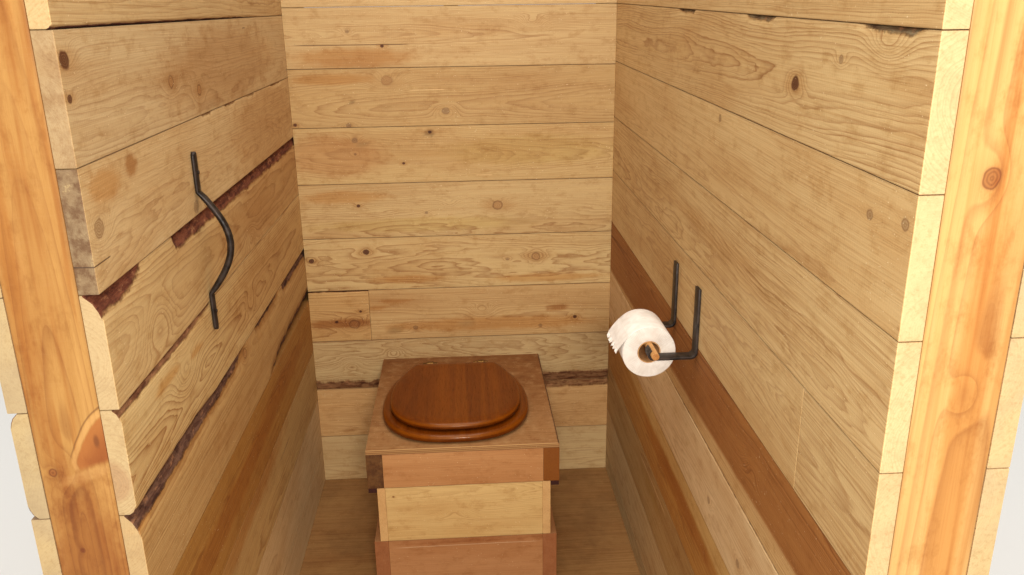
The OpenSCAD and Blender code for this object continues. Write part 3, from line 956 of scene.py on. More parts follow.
# %% [markdown]
# ## Writing a board's looks on its mesh
# The grain attribute is the board seen from the trunk's middle line. Tilting that line
# against the board gives arches, and moving it deeper gives wide, calm figure. The place
# attribute holds the distances to the two long edges and to the face. Stains and painted
# shade need a grid of vertices to be painted on, and everything else is the same all
# over the board.

# %% Board attributes
STAIN_STEP_ALONG = 0.016
STAIN_STEP_ACROSS = 0.011


def grow(piece, wall, rng, look, bark_strips):
    """Writes where the board sat in its trunk, and its colours, knots and stains."""
    mesh = piece.data
    places = np.array([wall.place(v.co) for v in mesh.vertices])
    low, high = places.min(0), places.max(0)
    centre = (low + high) / 2
    pith = look.get("pith", (rng.uniform(-0.06, 0.06), rng.uniform(0.03, 0.10)))
    arch = math.radians(look.get("arch", rng.uniform(-1.1, 1.1)))
    skew = math.radians(look.get("skew", rng.uniform(-0.9, 0.9)))
    start = rng.uniform(2.0, 40.0)

    def grain_at(p):
        along = p[0] - centre[0]
        across = p[1] - centre[1] - pith[0] - along * math.tan(skew)
        return (along + start, across, p[2] - pith[1] - along * math.tan(arch))

    def everywhere(name, value):
        write(mesh, name, [value] * len(places))

    def mark(name, along, across, size):
        """A mark's place in the grain, and its radius or half its length."""
        spot = grain_at(wall.spot(along, across))
        everywhere(name, (spot[0], spot[1], size))

    write(mesh, "grain", [grain_at(p) for p in places])
    write(mesh, "place", np.stack([places[:, 1] - low[1], high[1] - places[:, 1], places[:, 2]], 1))
    ring = look.get("ring", rng.uniform(0.0022, 0.0036))
    figure = look.get("figure", rng.uniform(0.45, 0.8))
    everywhere("look", (ring, figure, look.get("heart_r", 0.0)))
    warp = look.get("warp", rng.uniform(0.7, 1.4))
    fibre = look.get("fibre", rng.uniform(0.6, 1.0))
    everywhere("feel", (warp, fibre, look.get("wet", 0.15)))
    shade = rng.uniform(0.96, 1.03)
    everywhere("sap", [c * shade for c in look.get("sap", TAN)[:3]] + [1.0])
    for name, usual in (("heart", HEART), ("end_tone", END), ("bark_tone", BARK), ("bare", 0.0)):
        everywhere(name, look.get(name, usual))

    # Knots, a scratch, stains and painted shade
    for letter, (along, across, radius, kind) in zip(KNOT_LETTERS.lower(), look.get("knots", [])):
        tone, core, rim = KNOT_KINDS[kind]
        mark("knot_" + letter, along, across, radius)
        everywhere("tone_" + letter, (*tone[:3], core))
        everywhere("rim_" + letter, rim)
    if "spike" in look:
        mark("spike", *look["spike"])
    if "scratch" in look:
        mark("scratch", *look["scratch"][:3])
        everywhere("scratch_tone", look["scratch"][3])
    if "stains" in look:
        stains = [(*wall.spot(s[0], s[1])[:2], *s[2:]) for s in look["stains"]]
        write(mesh, "stain_and_shade", stain_and_shade_values(places, stains))

    # Faces
    ends, wear_and_highlight, bark = [], [], []
    for f in mesh.polygons:
        toward_end = abs(f.normal.dot(wall.along))
        toward_face = -f.normal.dot(wall.into)
        across = wall.place(f.center)[1]
        near = any(abs(across - limit) < reach + 0.002 for limit, reach in bark_strips)
        ends.append(toward_end > 0.8)
        # Eased edges between an end and the face, painted lighter later: partly wear, partly a painted
        # highlight.
        wear_and_highlight.append(toward_end > 0.25 and toward_face > 0.25)
        bark.append(near and toward_face > 0.05)
    for name, values in (("end", ends), ("wear_and_highlight", wear_and_highlight), ("bark", bark)):
        write(mesh, name, values, "FACE")


# %% Finishing a board
def fit(piece, nodes, finish, body="stall"):
    """Gives a finished piece its material and its body, and hides the nodes that it stands for."""
    piece.data.materials.clear()
    piece.data.materials.append(finish)
    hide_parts(*nodes)
    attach(piece, body)


def dress_board(piece, wall, seed, look, ease=EASED_EDGE):
    """Eases a board's edges, cuts its waney ones and writes its looks."""
    rng = random.Random(seed)
    with editing(piece, "EDGE"):
        bpy.ops.mesh.bevel(offset=ease, segments=2, affect="EDGES")
    strips = []
    for edge, outermost in (("upper", max), ("lower", min)):
        if edge in look:
            limit = outermost(wall.place(v.co)[1] for v in piece.data.vertices)
            strips.append((limit, cut_wane(piece, wall, look[edge], edge)))
    if "stains" in look:
        if not strips:
            divide(piece, wall.along, STAIN_STEP_ALONG)
        divide(piece, wall.across, STAIN_STEP_ACROSS, 0.02)
    flatten_shading(piece, 40)
    grow(piece, wall, rng, look, strips)


def dress_wall(node, names, wall, seed, looks, sap):
    boards = take_apart(node, names)
    for i, board in enumerate(boards):
        look = {"sap": sap, **looks.get(i, {})}
        dress_board(board, wall, seed + i, look)
        fit(board, [node], board_finish("plank_inner", look, sawn=0.3))
    print(len(boards), "boards in", node)


print("boards take up to", len(KNOT_LETTERS), "knots each")

# %% [markdown]
# ## The left wall
# The boards of the left wall are counted from the floor up. What is special about a
# board is written beside its number: its knots as the place along the wall, the height,
# the radius and the kind, its stains and its painted shade as a place with two half
# sizes and a tone, and the stretches where its edge is waney, each from a start to an
# end, with its depth, how far it reaches into the board, and how softly it begins and
# ends. Where the tone is shade, the patch is painted shade on the deeper, less lit part
# of the board. The wall's open end shows the sawn ends, cream or grey.

# %% Left wall boards
OPEN_END = open_y - 0.01
CRACK = (*paint(70, 42, 22)[:3], 0.9)
PALE_LINE = (*paint(226, 188, 132)[:3], 0.8)
# The patches with the tone shade on boards 5 to 8 are painted shade over their deeper, less lit parts.
LEFT_LOOKS = {
    2: dict(
        sap=paint(186, 150, 94), heart=paint(160, 122, 68), figure=0.8, ring=0.0026,
        stains=[(-0.15, 0.52, 0.40, 0.03, "orange")], scratch=(0.25, 0.47, 0.06, CRACK),
    ),
    3: dict(
        sap=paint(188, 144, 84), heart=paint(166, 118, 54), heart_r=0.12, pith=(0.02, 0.05), figure=0.8,
        stains=[(-0.25, 0.60, 0.34, 0.03, "orange"), (0.3, 0.62, 0.3, 0.03, "orange")],
    ),
    4: dict(
        sap=paint(185, 147, 93), bark_tone=paint(104, 72, 54), end_tone=paint(184, 156, 112),
        arch=0.4, fibre=0.6, bare=0.002, stains=[(-0.57, 0.812, 0.03, 0.007, "pale")],
        knots=[(0.012, 0.820, 0.0095, "ringed"), (-0.227, 0.827, 0.0095, "ringed")],
        upper=[Wane(OPEN_END, 0.03, 0.019, 0.038, FLUSH, 0.16), Wane(0.10, 0.36, 0.009, 0.038, 0.05),
               Wane(0.40, 0.83, 0.019, 0.038, 0.03)],
        lower=[Wane(0.18, 0.83, 0.020, 0.050, 0.35, 0.02)],
    ),
    5: dict(
        sap=paint(206, 176, 122), bark_tone=paint(134, 92, 60), end_tone=paint(178, 152, 112),
        figure=1.0, ring=0.0048, arch=1.8, pith=(-0.02, 0.05), heart_r=0.03, fibre=0.4, warp=1.5,
        knots=[(-0.331, 0.927, 0.018, "figure"), (0.10, 0.905, 0.012, "figure")],
        stains=[(-0.41, 0.955, 0.06, 0.010, "orange"), (-0.27, 0.945, 0.04, 0.008, "orange"),
                (0.40, 0.91, 0.42, 0.09, "shade")],
        upper=[Wane(OPEN_END, -0.15, 0.011, 0.018, FLUSH, 0.2)],
        lower=[Wane(OPEN_END, -0.20, 0.010, 0.014, FLUSH, 0.2)],
    ),
    6: dict(
        sap=paint(197, 165, 114), end_tone=paint(178, 152, 112),
        arch=1.0, pith=(0.0, 0.07), figure=0.85, ring=0.0046, wet=0.05, fibre=0.4,
        knots=[(-0.415, 1.048, 0.021, "figure"), (0.16, 1.02, 0.012, "figure")],
        stains=[(0.45, 1.07, 0.42, 0.09, "shade")],
        upper=[Wane(-0.31, 0.83, 0.019, 0.034, 0.03, 0.3), Wane(OPEN_END, -0.44, 0.022, 0.034, FLUSH, 0.13)],
    ),
    7: dict(
        bark_tone=paint(164, 132, 92), end_tone=paint(88, 68, 52), wet=1.0, fibre=0.5,
        knots=[(-0.557, 1.224, 0.0125, "soft"), (-0.173, 1.163, 0.011, "grey"),
               (0.35, 1.23, 0.012, "figure")],
        stains=[(-0.425, 1.278, 0.022, 0.016, "brown"), (-0.52, 1.27, 0.05, 0.02, "orange"),
                (0.42, 1.22, 0.34, 0.09, "shade")],
        upper=[Wane(start, end, 0.004, 0.011, 0.01, 0.015)
               for start, end in ((-0.075, -0.015), (0.07, 0.16), (0.25, 0.33), (0.50, 0.61))],
        scratch=(-0.565, 1.183, 0.03, CRACK),
    ),
    8: dict(
        sap=paint(194, 166, 122), end_tone=paint(150, 120, 82), wet=0.35, arch=0.5, fibre=0.5,
        knots=[(-0.573, 1.424, 0.010, "dark"), (-0.575, 1.381, 0.005, "dark"),
               (-0.215, 1.370, 0.009, "ringed"), (-0.074, 1.344, 0.009, "ringed")],
        stains=[(0.12, 1.37, 0.40, 0.07, "shade")], scratch=(0.29, 1.438, 0.012, CRACK),
    ),
    9: dict(
        sap=paint(195, 165, 117), end_tone=paint(190, 158, 108), bark_tone=paint(96, 52, 40),
        knots=[(0.05, 1.53, 0.010, "figure")], lower=[Wane(OPEN_END, 0.5, 0.008, 0.006, FLUSH, 0.6)],
    ),
}
dress_wall("left_inner_planks", "left_board_{}", left_wall, 100, LEFT_LOOKS, TAN)

# %% [markdown]
# ## The back wall
# The back boards are paler and carry most of the knots that show. Two of them meet at a
# butt joint, and near the floor a waney pair leaves a dark band.

# %% Back wall boards
BACK_LOOKS = {
    1: dict(
        sap=paint(200, 157, 102), bark_tone=paint(138, 98, 60),
        upper=[Wane(0.20, 0.44, 0.010, 0.030, 0.02, 0.02)],
    ),
    2: dict(
        sap=paint(196, 166, 116), bark_tone=paint(138, 96, 60), figure=0.9, ring=0.0036, warp=2.0, fibre=0.4,
        knots=[(-0.323, 0.487, 0.010, "figure"), (-0.20, 0.52, 0.007, "figure")],
        lower=[Wane(-0.44, -0.21, 0.008, 0.050, 0.01), Wane(0.18, 0.44, 0.012, 0.050, 0.03, 0.01)],
    ),
    3: dict(
        sap=paint(196, 154, 96), bark_tone=paint(96, 60, 36), fibre=0.5,
        knots=[(-0.3065, 0.611, 0.012, "ringed"), (-0.357, 0.619, 0.004, "dark"),
               (-0.287, 0.649, 0.0035, "dark")],
        stains=[(-0.35, 0.614, 0.10, 0.014, "brown")],
        upper=[Wane(-0.44, -0.255, 0.008, 0.007, FLUSH, 0.01)],
    ),
    4: dict(
        sap=paint(204, 166, 110), figure=0.75, fibre=0.6,
        knots=[(0.330, 0.611, 0.005, "dark"), (-0.133, 0.5945, 0.006, "grey"),
               (0.229, 0.588, 0.005, "grey"), (0.06, 0.64, 0.010, "figure")],
        stains=[(-0.1885, 0.677, 0.05, 0.008, "orange"), (-0.2435, 0.657, 0.03, 0.008, "orange"),
                (0.279, 0.642, 0.035, 0.010, "brown"), (-0.194, 0.587, 0.02, 0.008, "grey"),
                (0.015, 0.6015, 0.02, 0.008, "grey"), (0.10, 0.60, 0.3, 0.02, "orange")],
    ),
    5: dict(
        sap=paint(205, 173, 118), warp=2.2, figure=0.9, ring=0.0040, fibre=0.4,
        knots=[(-0.260, 0.825, 0.0075, "dark"), (-0.413, 0.803, 0.006, "dark"),
               (0.2165, 0.798, 0.010, "ringed"), (0.136, 0.792, 0.004, "grey")],
        stains=[(-0.155, 0.742, 0.10, 0.012, "orange"), (0.24, 0.735, 0.16, 0.012, "orange")],
    ),
    6: dict(
        sap=paint(200, 168, 115), warp=2.0, figure=0.8, ring=0.0036, fibre=0.4,
        knots=[(0.1105, 0.949, 0.0115, "ringed"), (-0.272, 0.957, 0.004, "dark"),
               (-0.087, 0.933, 0.004, "grey"), (-0.02, 0.950, 0.009, "figure")],
        stains=[(-0.31, 0.982, 0.11, 0.018, "orange"), (-0.10, 0.90, 0.30, 0.02, "yellow")],
    ),
    7: dict(
        sap=paint(202, 168, 112), fibre=0.4, scratch=(0.075, 1.034, 0.025, PALE_LINE),
        knots=[(-0.2695, 1.136, 0.007, "grey"), (-0.068, 1.154, 0.004, "dark"),
               (-0.142, 1.0715, 0.0035, "dark"), (-0.2705, 1.099, 0.0035, "grey")],
        stains=[(-0.33, 1.095, 0.13, 0.055, "red"), (-0.068, 1.150, 0.014, 0.010, "grey"),
                (-0.248, 1.126, 0.012, 0.008, "grey"), (0.2, 1.10, 0.22, 0.04, "yellow")],
    ),
    8: dict(
        sap=paint(187, 152, 99), figure=0.6, fibre=0.4, scratch=(-0.07, 1.265, 0.05, PALE_LINE),
        knots=[(-0.175, 1.291, 0.013, "faint"), (-0.023, 1.209, 0.009, "grey"),
               (-0.282, 1.176, 0.006, "grey"), (-0.423, 1.180, 0.004, "dark")],
        stains=[(-0.32, 1.296, 0.12, 0.014, "orange"), (-0.269, 1.2345, 0.010, 0.006, "grey")],
    ),
    9: dict(
        sap=paint(202, 169, 117), fibre=0.5, scratch=(-0.26, 1.382, 0.16, CRACK),
        knots=[(-0.269, 1.416, 0.0045, "grey"), (-0.182, 1.3785, 0.004, "dark"),
               (0.21, 1.43, 0.010, "figure")],
        stains=[(-0.26, 1.350, 0.15, 0.024, "orange")],
    ),
}
dress_wall("back_inner_planks", "back_board_{}", back_wall, 200, BACK_LOOKS, CREAM)

# %% [markdown]
# ## The right wall
# The right wall is the palest high up, and its low boards are rich heartwood with a
# pale strip of sapwood along one edge.

# %% Right wall boards
RIGHT_LOOKS = {
    0: dict(sap=paint(186, 162, 116)),
    1: dict(sap=paint(190, 160, 112)),
    2: dict(
        sap=paint(176, 140, 86), heart=paint(158, 118, 66), figure=0.6,
        stains=[(0.11, 0.392, 0.10, 0.014, "yellow")], scratch=(0.10, 0.421, 0.13, PALE_LINE),
    ),
    3: dict(
        sap=paint(194, 154, 92), heart=paint(176, 124, 58), heart_r=0.075, pith=(-0.02, 0.04),
        knots=[(0.045, 0.522, 0.007, "figure")], stains=[(-0.05, 0.53, 0.30, 0.026, "orange")],
    ),
    4: dict(
        sap=paint(210, 178, 132), bark_tone=paint(80, 46, 28), fibre=0.5,
        knots=[(0.023, 0.586, 0.005, "dark"), (-0.309, 0.639, 0.006, "grey"), (-0.475, 0.628, 0.007, "grey")],
        upper=[Wane(-0.83, 0.70, 0.006, 0.006, 0.3, 0.3)], scratch=(-0.085, 0.660, 0.03, PALE_LINE),
    ),
    5: dict(
        sap=paint(200, 162, 108), heart=paint(156, 102, 50), knots=[(-0.506, 0.821, 0.014, "figure")],
        pith=(0.052, 0.03), heart_r=0.108, skew=-1.6, figure=1.0, ring=0.0030, warp=0.5, fibre=0.6,
    ),
    9: dict(
        sap=CREAM, figure=0.4,
        knots=[(-0.234, 1.299, 0.006, "grey"), (-0.765, 1.267, 0.006, "grey"),
               (-0.8355, 1.274, 0.006, "grey")],
    ),
    10: dict(
        figure=0.9, ring=0.004, bark_tone=paint(124, 106, 76),
        knots=[(-0.534, 1.3795, 0.009, "dark"), (-0.658, 1.415, 0.005, "grey"),
               (-0.76, 1.435, 0.012, "figure")],
        upper=[Wane(-0.03, 0.10, 0.005, 0.012), Wane(-0.42, -0.30, 0.006, 0.014),
               Wane(-0.80, -0.67, 0.006, 0.014)],
    ),
}
dress_wall("right_inner_planks", "right_board_{}", right_wall, 300, RIGHT_LOOKS, CREAM)

# %% [markdown]
# ## The outer skins
# The outer boards are nailed to the same studs, two nails a board at each stud. They
# stand in the weather, so they are a little greyer, and the waney ones were kept for
# this side. A clustering of the studs' own vertices tells where the nails go.


# %% Outer skins
def line_centres(node, axis, gap=0.1):
    """The middles of a node's loose pieces along one axis."""
    values = sorted(v.co[axis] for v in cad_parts[node].data.vertices)
    groups = [[values[0]]]
    for value in values[1:]:
        if value - groups[-1][-1] > gap:
            groups.append([])
        groups[-1].append(value)
    return [(g[0] + g[-1]) / 2 for g in groups]


def join(pieces, name):
    activate(pieces[0])
    for piece in pieces[1:]:
        piece.select_set(True)
    bpy.ops.object.join()
    pieces[0].name = name
    return pieces[0]


def outer_look(rng, low, high, height):
    """A weathered board, one in three with a waney edge over part of its length."""
    shade = rng.uniform(0.93, 1.05)
    look = dict(sap=paint(190 * shade, 152 * shade, 104 * shade), end_tone=paint(190, 166, 118))
    if rng.random() < 0.35:
        start = rng.uniform(low, (low + high) / 2)
        end = start + rng.uniform(0.4, 0.9)
        strip = Wane(start, end, rng.uniform(0.006, 0.014), rng.uniform(0.014, 0.03), 0.15, 0.2)
        look[rng.choice(["upper", "lower"])] = [strip]
    knot = (0.0, height, 0.0, "figure")
    if rng.random() < 0.6:
        kind = rng.choice(["dark", "ringed", "faint"])
        knot = (rng.uniform(low, high), height, rng.uniform(0.007, 0.014), kind)
    look["knots"] = [knot]
    return look


WANEY_END = [Wane(OPEN_END, 0.3, 0.012, 0.02, FLUSH, 0.3)]
for n, (side, axis) in enumerate((("left", 1), ("right", 1), ("back", 0))):
    node = side + "_outer_planks"
    parts = take_apart(node, node + "_{}")
    lines = line_centres(side + "_studs", axis)
    finish = wood_material(node, knots=1, waney=True, nails=(lines, axis), weather=0.35)
    rng = random.Random(900 + n)
    low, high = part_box(node)
    for i, part in enumerate(parts):
        height = middle(part).z
        look = outer_look(rng, low[axis], high[axis], height + 0.02)
        if side == "left" and 0.86 < height < 0.99:
            look.update(upper=WANEY_END, lower=WANEY_END)
        dress_board(part, facing(node, side), 400 + 50 * n + i, look)
    fit(join(parts, node + "_skin"), [node], finish)
    print(node, "has", len(parts), "boards and nails at", [round(c, 2) for c in lines])

# %% [markdown]
# ## Posts at the open ends
# The posts are planed softwood of a warmer orange than the planks. They stand on end,
# so for them the grain runs up, and the face that shows is the front one. The left one
# has a spike knot, a branch that the saw cut along and not across.

# %% Posts
LEFT_POST = dict(
    sap=paint(176, 128, 66), heart=paint(160, 108, 50), ring=0.009, figure=0.45, pith=(0.0, 0.024), warp=0.35,
    arch=4.0, skew=0.3, fibre=0.25, end_tone=paint(216, 190, 150), wet=0.1, spike=(0.921, -0.456, 0.040),
    knots=[(0.908, -0.529, 0.0055, "eye"), (0.789, -0.511, 0.0035, "eye"), (0.912, -0.510, 0.011, "figure")],
    stains=[(0.66, -0.50, 0.24, 0.06, "brown"), (1.30, -0.53, 0.30, 0.012, "orange"),
            (1.65, -0.48, 0.25, 0.012, "orange")],
)
RIGHT_POST = {
    **LEFT_POST, "pith": (0.02, 0.05), "arch": 1.5, "spike": (1.9, 0.56, 0.03), "sap": paint(196, 150, 88),
    "knots": [(1.32, 0.498, 0.009, "eye"), (0.71, 0.52, 0.006, "ringed"), (1.1, 0.51, 0.01, "figure")],
    "stains": [(0.9, 0.51, 0.5, 0.02, "orange")],
}
for seed, (node, look) in enumerate((("left_post", LEFT_POST), ("right_post", RIGHT_POST)), 500):
    post = copy_node(node, node + "_planed")
    front = Wall((0, 0, 1), (1, 0, 0), (0, 1, 0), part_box(node)[0].y)
    dress_board(post, front, seed, look, ease=0.0025)
    fit(post, [node], board_finish("post_timber", look, sawn=0.1, specks=0.0))
print("posts are planed")

# %% [markdown]
# ## Hidden timber and the floor
# The studs, plates and joists show only at the top, at the ends and from below. Their
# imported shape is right, so they stay as they are and only get a better material. With no
# attributes on them, the material takes the Object coordinates and turns them so that
# the grain runs along the timber.

# %% Timber material
TURNS = {"X": (0, 1, 2), "Y": (1, 2, 0), "Z": (2, 0, 1)}


def timber_material(name, axis, sap, heart, pith, figure=0.5, dust=0.0):
    """A wood finish on Object coordinates, its grain along X, Y or Z."""
    finish, tree = new_finish(name)
    coordinates = add(tree, "TexCoord")
    place = split(coordinates["Object"])
    order = TURNS[axis]
    turned = add(tree, "CombineXYZ", {i: place[k] for i, k in enumerate(order)})[0]
    wood = use_group(plain_wood, {
        "Grain": turned + pith, "Figure": figure, "Sapwood": sap, "Heartwood": heart,
    })
    end = fade(abs(split(coordinates["Normal"])[order[0]]), 0.7, 0.9)
    colour = tint(end, wood["Color"], paint(226, 208, 182))
    if dust:
        soft = noise(coordinates["Object"], 7.0, 6.0, 0.68)
        colour = tint(fade(soft, 0.40, 0.66, 0.0, dust), colour, paint(178, 164, 146))
        grit = noise(coordinates["Object"], 160.0, 3.0, 0.7)
        colour = blend(fade(grit, 0.62, 0.74, 0.0, dust), colour, paint(176, 136, 90))
    bump = (wood["Height"], 0.5, 0.0005)
    return surface(finish, colour, wood["Roughness"], bump, {"Specular IOR Level": 0.35})


def refinish(finish, *nodes):
    for node in nodes:
        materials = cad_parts[node].data.materials
        materials.clear()
        materials.append(finish)


# %% Frame and floor
FRAME_SAP = paint(210, 170, 114)
FRAME_HEART = paint(188, 138, 84)
FRAME_TIMBER = {
    ("frame_timber_upright", "Z", (0.0, 0.31, 0.17)): ("left_studs", "back_studs", "right_studs"),
    ("frame_timber_deep", "Y", (0.0, 0.03, 0.21)): (
        "left_sole_plate", "left_top_plate", "right_sole_plate", "right_top_plate", "floor_joists",
    ),
    ("frame_timber_wide", "X", (0.0, 0.05, 0.16)): ("back_sole_plate", "back_top_plate", "floor_rims"),
}
for (name, axis, pith), nodes in FRAME_TIMBER.items():
    refinish(timber_material(name, axis, FRAME_SAP, FRAME_HEART, pith), *nodes)
DECK_SAP = paint(151, 111, 63)
DECK_HEART = paint(130, 90, 49)
deck = timber_material("deck_timber", "X", DECK_SAP, DECK_HEART, (0.0, 0.1, 0.06), figure=0.9, dust=0.4)
refinish(deck, "floor_deck")
print("frame timber is finished")

# %% [markdown]
# ## The seat box
# The box is two courses of boards with a frame of rails on top. Its pieces are dressed
# with the same steps as the planks. Each one says only which way it faces, its colours,
# and a knot or a stain where it has one.

# %% Box boards and rails
UPPER = dict(
    sap=paint(213, 176, 114), heart=paint(198, 154, 90), end_tone=paint(206, 158, 102),
    figure=0.45, fibre=0.3,
)
LOWER = dict(
    sap=paint(184, 130, 82), heart=paint(164, 106, 60), end_tone=paint(140, 78, 42),
    figure=0.35, fibre=0.3,
)
RAIL = dict(fibre=0.3, sap=paint(190, 136, 84), heart=paint(168, 112, 64), figure=0.4, ring=0.003)
LOW_PALE_LINE = (*paint(226, 196, 160)[:3], 0.35)
BOX_PIECES = [
    ("box_upper_front", "front", "box_upper_board", dict(
        UPPER, arch=1.2, knots=[(-0.172, 0.375, 0.0024, "eye"), (-0.03, 0.330, 0.012, "figure")],
    )),
    ("box_upper_left", "left", "box_upper_board", UPPER),
    ("box_upper_right", "right", "box_upper_board", UPPER),
    # Along the top of this board runs a darker brown band, with a pale line under it.
    ("box_lower_front", "front", "box_lower_board", dict(
        LOWER, stains=[(0.0, 0.246, 0.24, 0.006, "brown")], scratch=(0.0, 0.2315, 0.19, LOW_PALE_LINE),
    )),
    ("box_lower_left", "left", "box_lower_board", LOWER),
    ("box_lower_right", "right", "box_lower_board", LOWER),
    ("rail_front", "front", "rail_timber", dict(RAIL, stains=[(-0.095, 0.484, 0.018, 0.003, "brown")])),
    ("rail_back", "front", "rail_timber", RAIL),
    ("rail_left", "left", "rail_timber", dict(
        RAIL, sap=paint(132, 90, 46), end_tone=paint(92, 58, 24), wet=0.9,
    )),
    ("rail_right", "right", "rail_timber", dict(
        RAIL, sap=paint(150, 91, 28), end_tone=paint(122, 65, 8), wet=0.0,
    )),
]
for seed, (node, side, slot, look) in enumerate(BOX_PIECES, 520):
    piece = copy_node(node, node + "_planed")
    dress_board(piece, facing(node, side), seed, look, ease=0.0012)
    fit(piece, [node], board_finish(slot, look, sawn=0.12, specks=0.5))
print(len(BOX_PIECES), "pieces of the seat box")

# %% [markdown]
# ## Panel and cleats
# The panel is plywood: its face veneer is matt and brown, darker towards the wall, and
# its cut edge shows thin plies as light and dark lines. The lines come from the height
# in the panel. A pale line runs along its front edge, and a painted shadow darkens a
# thin line along its right edge.

# %% Panel
PLY = 0.0022


def soften(piece, width, degrees=40):
    """Eases every sharp edge of a piece."""
    bevel = piece.modifiers.new("ease", "BEVEL")
    bevel.width = width
    bevel.segments = 2
    bevel.limit_method = "ANGLE"
    bevel.angle_limit = math.radians(degrees)
    apply_all(piece)
    smooth_up_to(degrees)


def ply_material(low, high):
    finish, tree = new_finish("panel_ply")
    coordinates = add(tree, "TexCoord")
    place = coordinates["Object"]
    x, y, z = split(place)
    grain = place + (3.0, -0.3, -0.42)
    wood = use_group(plain_wood, {
        "Grain": grain, "Ring width": 0.007, "Figure": 0.4, "Warp": 1.5, "Fibre": 0.6,
        "Sapwood": paint(148, 106, 64), "Heartwood": paint(138, 94, 54),
    })
    colour = tint(fade(y, low.y + 0.05, high.y - 0.05), wood["Color"], paint(226, 208, 190))
    wear = noise(place, 34.0, 5.0, 0.65)
    colour = blend(fade(wear, 0.48, 0.70, 0.0, 0.42), colour, paint(166, 128, 84))
    colour = tint(fade(wear, 0.46, 0.30, 0.0, 0.6), colour, paint(222, 200, 176))
    pale_front_line = wear * 0.004 + (y - low.y)
    colour = blend(fade(pale_front_line, 0.0052, 0.0030, 0.0, 0.8), colour, paint(198, 156, 100))
    # Painted shadow: a thin dark line along the panel's right edge.
    side = wear * 0.003 + (high.x - x)
    colour = blend(fade(side, 0.0060, 0.0034, 0.0, 0.8), colour, paint(60, 36, 20))
    plies = fade(calc("PINGPONG", z * (1 / PLY), 1.0), 0.35, 0.65)
    cut = blend(plies, paint(138, 94, 55), paint(173, 130, 80))
    colour = blend(fade(abs(split(coordinates["Normal"])[2]), 0.8, 0.5), colour, cut)
    dots = use_group(specks_group, {"Place": grain})
    colour = blend(dots["Pale"] * 0.7, colour, paint(214, 184, 138))
    bump = (wood["Height"], 0.4, 0.0004)
    return surface(finish, colour, wood["Roughness"] + 0.12, bump, {"Specular IOR Level": 0.2})


panel = copy_node("seat_panel", "seat_panel_sanded")
soften(panel, 0.0012)
fit(panel, ["seat_panel"], ply_material(*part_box("seat_panel")))
# The cleats' near black red-brown is partly their own paint and partly painted shade under the rails'
# overhang.
cleats = timber_material("cleat_timber", "Y", paint(66, 26, 16), paint(54, 20, 12), (0.0, 0.2, 0.1))
refinish(cleats, "seat_cleats")
print("panel and cleats are finished")

# %% [markdown]
# ## The seat
# The ring and the lid are glued-up oak, stained and varnished. Oak shows long pores
# that hold the stain, so its grain is a field of short dark dashes from front to back
# over soft bands. The varnish is a thin clear coat over a fairly smooth wood, and the
# rolled edges are painted a lighter amber as a painted highlight.


# %% Oak material
def oak_material():
    finish, tree = new_finish("seat_oak")
    coordinates = add(tree, "TexCoord")
    x, y, z = split(coordinates["Object"])
    grain = add(tree, "CombineXYZ", {0: y, 1: x, 2: z})[0]
    wood = use_group(plain_wood, {
        "Grain": grain + (5.0, 0.13, -0.35), "Ring width": 0.0045,
        "Sapwood": paint(102, 46, 3), "Heartwood": paint(88, 37, 3),
    })
    bands = streaks(grain, 1.5, 46.0)
    colour = blend(fade(bands, 0.42, 0.7, 0.0, 0.45), wood["Color"], paint(126, 64, 8))
    level = split(coordinates["Normal"])[2]
    # Painted highlight: where the normal turns from up to the side, the rolled edges get a lighter amber.
    painted_roll_highlight = fade(level, 0.995, 0.70) * fade(level, 0.0, 0.35)
    colour = blend(painted_roll_highlight * 0.45, colour, paint(140, 74, 8))
    pores = fade(streaks(grain, 34.0, 1050.0, 3.0, 0.6), 0.54, 0.68)
    colour = blend(pores * 0.55, colour, paint(44, 18, 7))
    return surface(finish, colour, pores * 0.2 + 0.38, (1.0 - pores, 0.25, 0.0002), {
        "Specular IOR Level": 0.3, "Specular Tint": (1.0, 0.62, 0.25, 1.0),
        "Coat Weight": 0.20, "Coat Roughness": 0.12, "Coat Tint": (1.0, 0.80, 0.50, 1.0),
    })


# %% Ring and lid
CROWN = ((0.972, 0.0006), (0.965, 0.0005), (0.950, 0.0003), (0.920, 0.0001))


def crown(piece):
    """Presses the upper half down a little, then steps the flat top up to its old height."""
    foot, top = (pick(v.co.z for v in piece.data.vertices) for pick in (min, max))
    half_way = (foot + top) / 2
    drop = sum(rise for _, rise in CROWN)
    select_none(piece, "VERT")
    for v in piece.data.vertices:
        v.select = v.co.z > half_way
    with editing(piece, whole=False):
        squash = 1.0 - drop / (top - half_way)
        bpy.ops.transform.resize(value=(1.0, 1.0, squash), center_override=(0.0, 0.0, half_way))
    select_none(piece, "FACE")
    flat = []
    for f in piece.data.polygons:
        f.select = f.normal.z > 0.999 and f.center.z > top - drop - 0.0003
        if f.select:
            flat.extend(piece.data.vertices[i].co for i in f.vertices)
    centre = [(min(co[i] for co in flat) + max(co[i] for co in flat)) / 2 for i in (0, 1)]
    with editing(piece, whole=False):
        for share, rise in CROWN:
            bpy.ops.mesh.extrude_region_move(TRANSFORM_OT_translate={"value": (0.0, 0.0, rise)})
            bpy.ops.transform.resize(value=(share, share, 1.0), center_override=(*centre, 0.0))


oak = oak_material()
ring = copy_node("seat_ring", "seat_ring_varnished")
flatten_shading(ring, 50)
fit(ring, ["seat_ring"], oak)
lid = copy_node("seat_lid", "seat_lid_varnished")
crown(lid)
flatten_shading(lid, 50)
fit(lid, ["seat_lid"], oak, body="lid")
print("ring and lid are varnished")


# %% [markdown]
# ## Metal, rubber, paper and card
# The brass and the iron each mix two tones by noise; the iron is black from the forge, with paler brown
# patches.


